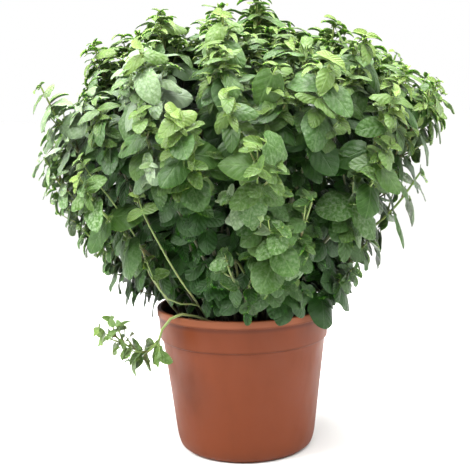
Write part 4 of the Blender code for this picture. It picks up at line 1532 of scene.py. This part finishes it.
def leaf_material(settings):
    """Oregano leaf: soft and matt with short hairs, which give it a grey bloom with a painted sheen; its
    underside is paler, and painted shade darkens it deep in the bush.
    """
    look, tree, shader = shader_of("oregano_leaf", {
        "Roughness": 0.42,
        "IOR": 1.42,
        "Specular IOR Level": 0.38,
        "Sheen Weight": 0.12,
        "Sheen Roughness": 0.4,
        "Subsurface Weight": 0.3,
        "Subsurface Radius": (0.6, 1.0, 0.25),
        "Subsurface Scale": 0.0005,
    })
    add = partial(add_node, tree)
    place = add("ShaderNodeTexCoord").node.outputs["Object"]
    uv = add("ShaderNodeUVMap", uv_map="UVMap")
    age, tone, shade, underside, stalk = (
        add("ShaderNodeAttribute", attribute_name=name).node.outputs["Fac"]
        for name in ("age", "tone", "shade", "underside", "stalk")
    )
    # Soft patches about 6 mm across, where the hairs lie thicker
    clouds = add("ShaderNodeTexNoise", {"Vector": place, "Scale": 160.0, "Detail": 2.0})
    patches = add("ShaderNodeMapRange", {"Value": clouds, "From Min": 0.38, "From Max": 0.68, "To Max": 0.45})
    # A grey bloom in spots of 2 mm: the hairs' own grey, with a painted sheen where they catch the light
    spots = add("ShaderNodeTexNoise", {"Vector": place, "Scale": 520.0, "Detail": 3.0})
    spotted = add("ShaderNodeMapRange", {"Value": spots, "From Min": 0.42, "From Max": 0.70, "To Max": 0.85})
    hair_and_sheen = add("ShaderNodeMath", {0: tone, 1: tone}, operation="MULTIPLY", use_clamp=True)
    bloom_and_sheen = add("ShaderNodeMath", {0: spotted, 1: hair_and_sheen}, operation="MULTIPLY")
    # On downy shoots the hairs cover the whole leaf: a silvery down, partly painted sheen
    down_and_sheen = add("ShaderNodeMapRange", {"Value": tone, "From Min": 0.9, "From Max": 1.5, "To Max": 0.8})
    # Veins: the midrib, and side veins that run out and forward from it
    across, forward = add("ShaderNodeSeparateXYZ", {0: uv}).node.outputs[:2]
    off = add("ShaderNodeMath", {0: across, 1: 0.5}, operation="SUBTRACT")
    off = add("ShaderNodeMath", {0: off}, operation="ABSOLUTE")
    rib = add("ShaderNodeMapRange", {"Value": off, "From Max": 0.035, "To Min": 1.0, "To Max": 0.0})
    slant = add("ShaderNodeMath", {0: off, 1: -0.75, 2: forward}, operation="MULTIPLY_ADD")
    beat = add("ShaderNodeMath", {0: slant, 1: 0.10}, operation="PINGPONG")
    vein = add("ShaderNodeMapRange", {"Value": beat, "From Max": 0.020, "To Min": 0.5, "To Max": 0.0})
    veins = add("ShaderNodeMath", {0: rib, 1: vein}, operation="MAXIMUM")
    veined = add("ShaderNodeMath", {0: veins, 1: 0.22}, operation="MULTIPLY")
    pale = add("ShaderNodeMath", {0: underside, 1: 0.6}, operation="MULTIPLY")
    # Painted shade: how far the leaf is painted darker, deep in the bush and close above the pot
    painted_shade_share = add("ShaderNodeMath", {0: shade, 1: 0.92}, operation="MULTIPLY")
    # The colour from the ground up: what the hairs do, with their painted sheen, shows on grown leaves alone,
    # the rest on all
    colour = linear("#1f4006")
    for share, code in ((tone, "#40681a"), (patches, "#426626"), (bloom_and_sheen, "#9cb08c"), (down_and_sheen, "#b0c2a4")):
        colour = add("ShaderNodeMix", {0: share, 1: colour, 2: linear(code)}, data_type="RGBA")
    young = linear(settings.young_hex)
    colour = add("ShaderNodeMix", {0: age, 1: young, 2: colour}, data_type="RGBA")
    # The pale underside, the veins and the stalk are the leaf's own colour; the last layer, dark green, is
    # painted shade
    for share, code in ((pale, "#658444"), (veined, "#86a866"), (stalk, "#7f9a4c"), (painted_shade_share, "#143806")):
        colour = add("ShaderNodeMix", {0: share, 1: colour, 2: linear(code)}, data_type="RGBA")
    tree.links.new(colour, shader.inputs["Base Color"])
    # The blade stands up like a quilt between its sunk veins, and the hairs' nap is drawn coarse, to show
    nap = add("ShaderNodeTexNoise", {"Vector": place, "Scale": 2000.0, "Detail": 1.0})
    quilt = add("ShaderNodeMath", {0: beat, 1: 9.0, 2: nap}, operation="MULTIPLY_ADD")
    relief = add("ShaderNodeMath", {0: rib, 1: -0.9, 2: quilt}, operation="MULTIPLY_ADD")
    bump = add("ShaderNodeBump", {"Strength": 0.5, "Distance": 0.0005, "Height": relief})
    tree.links.new(bump, shader.inputs["Normal"])
    return look


def stem_material():
    """Oregano stem: pale, hairy and square, green in the tips and straw-coloured to reddish lower down."""
    look, tree, shader = shader_of("oregano_stem", {
        "Roughness": 0.6,
        "Sheen Weight": 0.2,
        "Subsurface Weight": 0.1,
        "Subsurface Scale": 0.001,
    })
    add = partial(add_node, tree)
    place = add("ShaderNodeTexCoord").node.outputs["Object"]
    age, shade = (
        add("ShaderNodeAttribute", attribute_name=name).node.outputs["Fac"] for name in ("age", "shade")
    )
    colour = add("ShaderNodeValToRGB", {0: age})
    ramp = colour.node.color_ramp
    ramp.elements[0].color = linear("#7c9a44")
    ramp.elements[1].color = linear("#6f6338")
    ramp.elements.new(0.55).color = linear("#8a9c54")
    # A reddish blush in long patches, and painted shade, darker deep in the bush and close above the pot
    clouds = add("ShaderNodeTexNoise", {"Vector": place, "Scale": 60.0, "Detail": 2.0})
    blush = add("ShaderNodeMapRange", {"Value": clouds, "From Min": 0.5, "From Max": 0.75, "To Max": 0.35})
    painted_shade_share = add("ShaderNodeMath", {0: shade, 1: 0.85}, operation="MULTIPLY")
    for share, code in ((blush, "#7d5a3c"), (painted_shade_share, "#231e0e")):
        colour = add("ShaderNodeMix", {0: share, 1: colour, 2: linear(code)}, data_type="RGBA")
    tree.links.new(colour, shader.inputs["Base Color"])
    # The nap of its short hairs
    nap = add("ShaderNodeTexNoise", {"Vector": place, "Scale": 2500.0, "Detail": 1.0})
    bump = add("ShaderNodeBump", {"Strength": 0.3, "Distance": 0.0001, "Height": nap})
    tree.links.new(bump, shader.inputs["Normal"])
    return look


def plastic_material(settings):
    """Moulded polypropylene in terracotta: a dull satin, a little mottled, with dried splashes of mix."""
    look, tree, shader = shader_of("terracotta_polypropylene", {"IOR": 1.49, "Specular IOR Level": 0.22})
    add = partial(add_node, tree)
    place = add("ShaderNodeTexCoord").node.outputs["Object"]
    clouds = add("ShaderNodeTexNoise", {"Vector": place, "Scale": 24.0, "Detail": 4.0})
    # Water marks: thin grey-brown patches about 12 mm across, stretched down the wall
    stretched = add("ShaderNodeMapping", {"Vector": place, "Scale": (80.0, 80.0, 34.0)})
    marks = add("ShaderNodeTexNoise", {"Vector": stretched, "Scale": 1.0, "Detail": 5.0})
    marked = add("ShaderNodeMapRange", {"Value": marks, "From Min": 0.52, "From Max": 0.8, "To Max": 0.45})
    # Painted highlight: the lip is painted paler. Painted shade: dark lines in the steps under the lip and
    # under the band
    level = add("ShaderNodeSeparateXYZ", {0: place}).node.outputs["Z"]
    lip_bottom, band_bottom = POT_HEIGHT - LIP_HEIGHT, POT_HEIGHT - BAND_HEIGHT
    # Painted highlight: the lip is painted paler from its lower edge up
    painted_lip_highlight = add(
        "ShaderNodeMapRange",
        {"Value": level, "From Min": lip_bottom, "From Max": lip_bottom + 1.5 * MM, "To Max": 0.35},
    )
    layers = [(clouds, "#672d0e"), (marked, "#57280f"), (painted_lip_highlight, "#a4684a")]
    # Painted shade: a dark line just under the lip and one under the band
    for middle, spread, most in ((lip_bottom - 1.5 * MM, 2.2 * MM, 0.75), (band_bottom, 1.6 * MM, 0.6)):
        off = add("ShaderNodeMath", {0: level, 1: middle}, operation="SUBTRACT")
        off = add("ShaderNodeMath", {0: off}, operation="ABSOLUTE")
        painted_shade_line = add("ShaderNodeMapRange", {"Value": off, "From Max": spread, "To Min": most, "To Max": 0.0})
        layers.append((painted_shade_line, "#4a1e0a"))
    colour = linear(settings.plastic_hex)
    for share, code in layers:
        colour = add("ShaderNodeMix", {0: share, 1: colour, 2: linear(code)}, data_type="RGBA")
    tree.links.new(colour, shader.inputs["Base Color"])
    shine = add(
        "ShaderNodeMapRange",
        {"Value": marks, "From Min": 0.3, "From Max": 0.7, "To Min": 0.42, "To Max": 0.58},
    )
    tree.links.new(shine, shader.inputs["Roughness"])
    # The mould's fine texture, 0.8 mm, and slow unevenness of the thin wall
    grain = add("ShaderNodeTexNoise", {"Vector": place, "Scale": 1200.0, "Detail": 2.0})
    slow = add("ShaderNodeTexNoise", {"Vector": place, "Scale": 40.0, "Detail": 1.0})
    relief = add("ShaderNodeMath", {0: slow, 1: 6.0, 2: grain}, operation="MULTIPLY_ADD")
    bump = add("ShaderNodeBump", {"Strength": 0.25, "Distance": 0.0001, "Height": relief})
    tree.links.new(bump, shader.inputs["Normal"])
    return look


def mix_material():
    """Moist peat mix: near-black crumbs with brown fibres."""
    look, tree, shader = shader_of("moist_peat_mix", {"Roughness": 0.9})
    add = partial(add_node, tree)
    place = add("ShaderNodeTexCoord").node.outputs["Object"]
    grains = add("ShaderNodeTexNoise", {"Vector": place, "Scale": 450.0, "Detail": 4.0})
    colour = add("ShaderNodeValToRGB", {0: grains})
    ends = ((0.35, "#17110d"), (0.72, "#4a3526"))
    for stop, (position, code) in zip(colour.node.color_ramp.elements, ends):
        stop.position, stop.color = position, linear(code)
    tree.links.new(colour, shader.inputs["Base Color"])
    bump = add("ShaderNodeBump", {"Strength": 0.8, "Distance": 0.0006, "Height": grains})
    tree.links.new(bump, shader.inputs["Normal"])
    return look


# The pot and its potting mix


def wall_radius(height):
    """The outside radius of the tapered wall below the band."""
    share = (height - FOOT_ROUND_HEIGHT) / (POT_HEIGHT - BAND_HEIGHT - FOOT_ROUND_HEIGHT)
    return FOOT_ROUND_RADIUS + share * (BAND_LOW_RADIUS - BAND_PROUD - FOOT_ROUND_RADIUS)


def rounded_profile(corners):
    """The profile with each corner (radius, height, rounding) made an arc."""
    line = []
    for i, (radius, height, rounding) in enumerate(corners):
        here = Vector((radius, height))
        if not rounding or i in (0, len(corners) - 1):
            line.append(here)
            continue
        before = Vector(corners[i - 1][:2]) - here
        after = Vector(corners[i + 1][:2]) - here
        cut = min(rounding, ROUND_MOST * before.length, ROUND_MOST * after.length)
        start, end = here + cut * before.normalized(), here + cut * after.normalized()
        for k in range(ROUND_STEPS + 1):
            t = k / ROUND_STEPS
            line.append((1 - t) ** 2 * start + 2 * t * (1 - t) * here + t * t * end)
    return line


def channel(level, rounding):
    """The raised channel of the floor at a level, from the middle out."""
    return [
        (0.0, level, 0.0),
        (CHANNEL_INNER, level, rounding),
        (CHANNEL_INNER + CHANNEL_SLOPE, level + CHANNEL_RISE, rounding),
        (CHANNEL_OUTER - CHANNEL_SLOPE, level + CHANNEL_RISE, rounding),
        (CHANNEL_OUTER, level, rounding),
    ]


def pot_profile():
    """Runs out over the floor, up the inside, over the rolled lip and down the outside to the foot."""
    band_bottom = POT_HEIGHT - BAND_HEIGHT
    lip_bottom = POT_HEIGHT - LIP_HEIGHT
    lip_inner = RIM_RADIUS - LIP_PROUD
    inside = channel(FLOOR, 0.6 * MM) + [
        (FLOOR_RADIUS, FLOOR, 1.0 * MM),
        (FOOT_ROUND_RADIUS - WALL, FOOT_ROUND_HEIGHT, 5.0 * MM),
        (wall_radius(band_bottom) - WALL, band_bottom, 2.0 * MM),
        (lip_inner - WALL, lip_bottom, 1.5 * MM),
        (RIM_RADIUS - 2.0 * WALL, POT_HEIGHT, 0.9 * MM),
    ]
    outside = [
        (RIM_RADIUS, POT_HEIGHT, 1.1 * MM),
        (RIM_RADIUS, lip_bottom, 0.5 * MM),
        (lip_inner, lip_bottom - 0.2 * MM, 0.4 * MM),
        (BAND_LOW_RADIUS, band_bottom, 0.5 * MM),
        (wall_radius(band_bottom), band_bottom - 0.6 * MM, 0.4 * MM),
        (FOOT_ROUND_RADIUS + 0.2 * MM, FOOT_ROUND_HEIGHT, 6.0 * MM),
        (50.0 * MM, 2.6 * MM, 3.0 * MM),
        (FOOT_RADIUS, 0.0, 0.8 * MM),
    ]
    return rounded_profile(inside + outside + channel(0.0, 0.6 * MM)[::-1])


def turned_mesh(name, profile, sides):
    """A closed solid turned about the Z axis."""
    solid = bmesh.new()
    rings = []
    turns = [math.tau * k / sides for k in range(sides)]
    for radius, height in profile:
        if radius < 1e-6:
            rings.append([solid.verts.new((0.0, 0.0, height))] * sides)
        else:
            rings.append([solid.verts.new(round_axis(radius, turn, height)) for turn in turns])
    for low, high in zip(rings, rings[1:]):
        for k in range(sides):
            quad = (low[k], low[(k + 1) % sides], high[(k + 1) % sides], high[k])
            face = list(dict.fromkeys(quad))
            if len(face) > 2:
                solid.faces.new(face)
    bmesh.ops.recalc_face_normals(solid, faces=solid.faces)
    mesh = bpy.data.meshes.new(name)
    solid.to_mesh(mesh)
    solid.free()
    return mesh


def build_pot(settings):
    """The pot, turned from its profile, with its drainage holes cut."""
    piece = new_object("nursery_pot", turned_mesh("nursery_pot", pot_profile(), settings.pot_sides))
    cutters = bpy.data.collections.new("drain_cutters")
    for i in range(DRAIN_COUNT):
        place = round_axis(DRAIN_CIRCLE, math.tau * (i + 0.5) / DRAIN_COUNT, CHANNEL_RISE)
        drill = bmesh.new()
        bmesh.ops.create_cone(
            drill, cap_ends=True, segments=DRAIN_SIDES, radius1=DRAIN_RADIUS, radius2=DRAIN_RADIUS,
            depth=DRAIN_DEPTH, matrix=Matrix.Translation(place),
        )
        mesh = bpy.data.meshes.new(f"drain_cutter_{i}")
        drill.to_mesh(mesh)
        drill.free()
        cutters.objects.link(bpy.data.objects.new(mesh.name, mesh))
    cut = piece.modifiers.new("Drain holes", "BOOLEAN")
    cut.operation, cut.operand_type, cut.collection, cut.solver = "DIFFERENCE", "COLLECTION", cutters, "EXACT"
    baked(piece)
    discard(cutters)
    piece.data.shade_smooth()
    piece.data.set_sharp_from_angle(angle=math.radians(50.0))
    piece.data.materials.append(plastic_material(settings))
    finished(piece, "pot_plastic", "pot")


def build_mix(settings):
    """The potting mix: its buried sides plain, its top crumbly."""
    bottom = FLOOR + CHANNEL_RISE + CLEARANCE
    spare = 2.0 * CLEARANCE + WALL
    band_bottom = POT_HEIGHT - BAND_HEIGHT
    top_radius = wall_radius(band_bottom) - spare
    profile = [(0.0, bottom), (FLOOR_RADIUS, bottom), (FOOT_ROUND_RADIUS - spare, FOOT_ROUND_HEIGHT)]
    profile += [(top_radius, band_bottom), (top_radius + 0.6 * MM, SOIL_LEVEL)]
    profile += [(top_radius * (SOIL_ROWS - i) / SOIL_ROWS, SOIL_LEVEL) for i in range(SOIL_ROWS + 1)]
    piece = new_object("moist_mix", turned_mesh("moist_mix", profile, SOIL_SIDES))
    for vertex in piece.data.vertices:
        if vertex.co.z > SOIL_LEVEL - CLEARANCE:
            fine = FINE_RELIEF * noise.noise(vertex.co / FINE_CRUMB)
            vertex.co.z += SOIL_RELIEF * noise.noise(vertex.co / SOIL_CRUMB) + fine
    piece.data.shade_smooth()
    look = mix_material()
    piece.data.materials.append(look)
    finished(piece, "potting_mix", "potting_mix")
    bed, tree = crumb_bed(top_radius), crumb_tree(look)
    crumbs = with_tree("mix_crumbs", bed, tree, {"per_m2": settings.crumbs_per_m2})
    finished(crumbs, "potting_mix")


def crumb_bed(radius):
    """The mix's top face, on which the crumbs are strewn."""
    profile = [(radius * i / BED_ROWS, SOIL_LEVEL + BED_RISE) for i in range(BED_ROWS + 1)]
    mesh = turned_mesh("crumb_bed", profile, BED_SIDES)
    for vertex in mesh.vertices:
        vertex.co.z += SOIL_RELIEF * noise.noise(vertex.co / SOIL_CRUMB)
    return mesh


def crumb_tree(look):
    """Geometry Nodes: lumps of peat and short fibres strewn on a bed."""
    tree, add, inputs = geometry_tree("crumbs", per_m2="Float")
    both = add("GeometryNodeJoinGeometry")
    for seed, share, size, turns in STREWN:
        density = add("ShaderNodeMath", {0: inputs["per_m2"], 1: share}, operation="MULTIPLY")
        strewn = add(
            "GeometryNodeDistributePointsOnFaces",
            {"Mesh": inputs["Geometry"], "Density": density, "Seed": seed},
        )
        lump = add("GeometryNodeMeshIcoSphere", {"Radius": 1.0, "Subdivisions": 1})
        shaped = add(
            "GeometryNodeTransform", {"Geometry": lump, "Scale": tuple(MM * value for value in size)}
        )
        turn = add(
            "FunctionNodeRandomValue", {0: (0.0, 0.0, 0.0), 1: turns, "Seed": seed}, data_type="FLOAT_VECTOR"
        )
        scale = add("FunctionNodeRandomValue", {0: 0.6, 1: 2.0, "Seed": seed + 1}, data_type="FLOAT")
        laid = add(
            "GeometryNodeInstanceOnPoints",
            {"Points": strewn, "Instance": shaped, "Rotation": turn, "Scale": scale},
        )
        tree.links.new(laid, both.node.inputs[0])
    whole = add("GeometryNodeRealizeInstances", {0: both})
    # Each lump is roughened, so that none is a plain ball
    spot = add("GeometryNodeInputPosition")
    rough = add("ShaderNodeTexNoise", {"Vector": spot, "Scale": 900.0, "Detail": 1.0}).node.outputs["Color"]
    centred = add("ShaderNodeVectorMath", {0: rough, 1: (0.5, 0.5, 0.5)}, operation="SUBTRACT")
    push = add("ShaderNodeVectorMath", {0: centred, "Scale": CRUMB_RELIEF}, operation="SCALE")
    moved = add("GeometryNodeSetPosition", {"Geometry": whole, "Offset": push})
    painted = add("GeometryNodeSetMaterial", {"Geometry": moved, "Material": look})
    add("NodeGroupOutput", {0: painted})
    return tree


# The foliage and the stage


def build_foliage(settings):
    """Every stem in leaf: a piece for each frame node, and the filling and bare stems in a few pieces."""
    plans = bush_plans(settings.shoot_length)
    blanks = leaf_blanks()
    tree = foliage_tree(leaf_material(settings), stem_material())
    fillings = [plan for plan in plans if not plan.node]
    pieces = [(f"{plan.node}_in_leaf", [plan], [plan.node]) for plan in plans if plan.node]
    pieces += [(f"filling_stems_{k + 1}", fillings[k::FILLING_PIECES], []) for k in range(FILLING_PIECES)]
    for name, some, nodes in pieces:
        finished(foliage_piece(name, some, tree, blanks, settings.stem_thickness), "foliage", *nodes)
    discard(blanks)


def build_stage(settings):
    """A pale floor, a surrounding that is brightest overhead, four wide lamps and the camera in front."""
    floor = new_object("floor", turned_mesh("floor", [(0.0, 0.0), (FLOOR_SPAN, 0.0)], 64))
    look = shader_of("pale_floor", {"Base Color": linear("#dadad8"), "Roughness": 0.9})[0]
    floor.data.materials.append(look)

    world = bpy.data.worlds.new("soft_surround")
    world.use_nodes = True
    sky = world.node_tree
    add = partial(add_node, sky)
    place = add("ShaderNodeTexCoord").node.outputs["Generated"]
    height = add("ShaderNodeSeparateXYZ", {0: place}).node.outputs["Z"]
    colour = add("ShaderNodeValToRGB", {0: height})
    ramp = colour.node.color_ramp
    for stop, level in SKY_STOPS:
        ramp.elements.new(stop).color = (level, level, level, 1.0)
    ramp.elements[0].color = SKY_LOWEST
    ramp.elements[len(ramp.elements) - 1].color = SKY_HIGHEST
    back = sky.nodes["Background"]
    sky.links.new(colour, back.inputs["Color"])
    back.inputs["Strength"].default_value = settings.light
    bpy.context.scene.world = world

    for name, (place, power) in LAMPS.items():
        lamp = bpy.data.lights.new(name, "AREA")
        lamp.size, lamp.energy, lamp.spread = LAMP_SIZE, power, LAMP_SPREAD
        light = new_object(name, lamp)
        light.location = place
        light.rotation_euler = (LAMP_AIM - Vector(place)).to_track_quat("-Z", "Y").to_euler()

    camera = bpy.data.cameras.new("camera")
    camera.lens, camera.sensor_width = settings.lens, 36.0
    holder = new_object("camera", camera)
    level = Matrix.Rotation(math.radians(90.0) - settings.pitch, 4, "X")
    roll = Matrix.Rotation(CAMERA_ROLL, 4, "Z")
    stand = Matrix.Translation((CAMERA_ASIDE, -settings.distance, settings.height))
    holder.matrix_world = stand @ level @ roll
    bpy.context.scene.camera = holder
    bpy.context.scene.view_settings.view_transform = "Standard"


# Settings, operators and panel


class OreganoSettings(bpy.types.PropertyGroup):
    """What a user would change on the plant and its pot."""

    pot_sides: bpy.props.IntProperty(
        name="Pot sides", description="Flat sides round the pot", default=144, min=32
    )
    shoot_length: bpy.props.FloatProperty(
        name="Side shoots", description="Length of the side shoots as a share of their usual one",
        default=1.0, min=0.0, max=1.5, subtype="FACTOR",
    )
    stem_thickness: bpy.props.FloatProperty(
        name="Stem thickness", description="Thickness of every stem as a share of its usual one",
        default=1.0, min=0.5, max=1.5, subtype="FACTOR",
    )
    crumbs_per_m2: bpy.props.FloatProperty(
        name="Crumbs", description="Crumbs on each square metre of the potting mix", default=90000.0, min=0.0
    )
    young_hex: bpy.props.StringProperty(
        name="Young leaf", description="sRGB colour of the youngest leaves", default="#6e8638"
    )
    plastic_hex: bpy.props.StringProperty(
        name="Pot", description="sRGB colour of the pot's plastic", default="#60290a"
    )


class StageSettings(bpy.types.PropertyGroup):
    """The camera and the light."""

    distance: bpy.props.FloatProperty(
        name="Distance", description="How far in front of the pot's axis the camera stands",
        default=0.7057, unit="LENGTH",
    )
    height: bpy.props.FloatProperty(
        name="Height", description="Height of the camera above the floor", default=0.2523, unit="LENGTH"
    )
    pitch: bpy.props.FloatProperty(
        name="Pitch", description="How far the camera looks down", default=math.radians(7.41), subtype="ANGLE"
    )
    lens: bpy.props.FloatProperty(name="Lens", description="Focal length in mm", default=72.63)
    light: bpy.props.FloatProperty(
        name="Light", description="Strength of the soft surrounding light", default=1.0
    )


class OREGANO_OT_stage(bpy.types.Operator):
    """Adds the floor, the soft studio light and the camera"""

    bl_idname = "oregano.stage"
    bl_label = "Stage"

    def execute(self, context):
        build_stage(context.scene.oregano_stage)
        return {"FINISHED"}


class OREGANO_OT_pot(bpy.types.Operator):
    """Adds the moulded pot with its lip, band and drained floor"""

    bl_idname = "oregano.pot"
    bl_label = "Pot"

    def execute(self, context):
        build_pot(context.scene.oregano)
        return {"FINISHED"}


class OREGANO_OT_mix(bpy.types.Operator):
    """Adds the potting mix and its crumbs"""

    bl_idname = "oregano.potting_mix"
    bl_label = "Potting mix"

    def execute(self, context):
        build_mix(context.scene.oregano)
        return {"FINISHED"}


class OREGANO_OT_foliage(bpy.types.Operator):
    """Adds every stem with its leaves and side shoots"""

    bl_idname = "oregano.foliage"
    bl_label = "Foliage"

    def execute(self, context):
        build_foliage(context.scene.oregano)
        return {"FINISHED"}


class OREGANO_PT_panel(bpy.types.Panel):
    """Shows the plant's and the stage's settings and the buttons that build the pieces"""

    bl_label = "Potted oregano"
    bl_space_type = "VIEW_3D"
    bl_region_type = "UI"
    bl_category = "Oregano"

    def draw(self, context):
        layout = self.layout
        for settings in (context.scene.oregano, context.scene.oregano_stage):
            for name in settings.bl_rna.properties.keys():
                if name not in ("rna_type", "name"):
                    layout.prop(settings, name)
        for operator in OPERATORS:
            layout.operator(operator.bl_idname)


OPERATORS = (OREGANO_OT_stage, OREGANO_OT_pot, OREGANO_OT_mix, OREGANO_OT_foliage)
CLASSES = (OreganoSettings, StageSettings, *OPERATORS, OREGANO_PT_panel)


def register():
    for one in CLASSES:
        bpy.utils.register_class(one)
    bpy.types.Scene.oregano = bpy.props.PointerProperty(type=OreganoSettings)
    bpy.types.Scene.oregano_stage = bpy.props.PointerProperty(type=StageSettings)


def unregister():
    del bpy.types.Scene.oregano_stage
    del bpy.types.Scene.oregano
    for one in reversed(CLASSES):
        bpy.utils.unregister_class(one)


def main():
    register()
    for operator in OPERATORS:
        group, name = operator.bl_idname.split(".")
        getattr(getattr(bpy.ops, group), name)()
    bpy.context.view_layer.update()


if __name__ == "__main__":
    main()
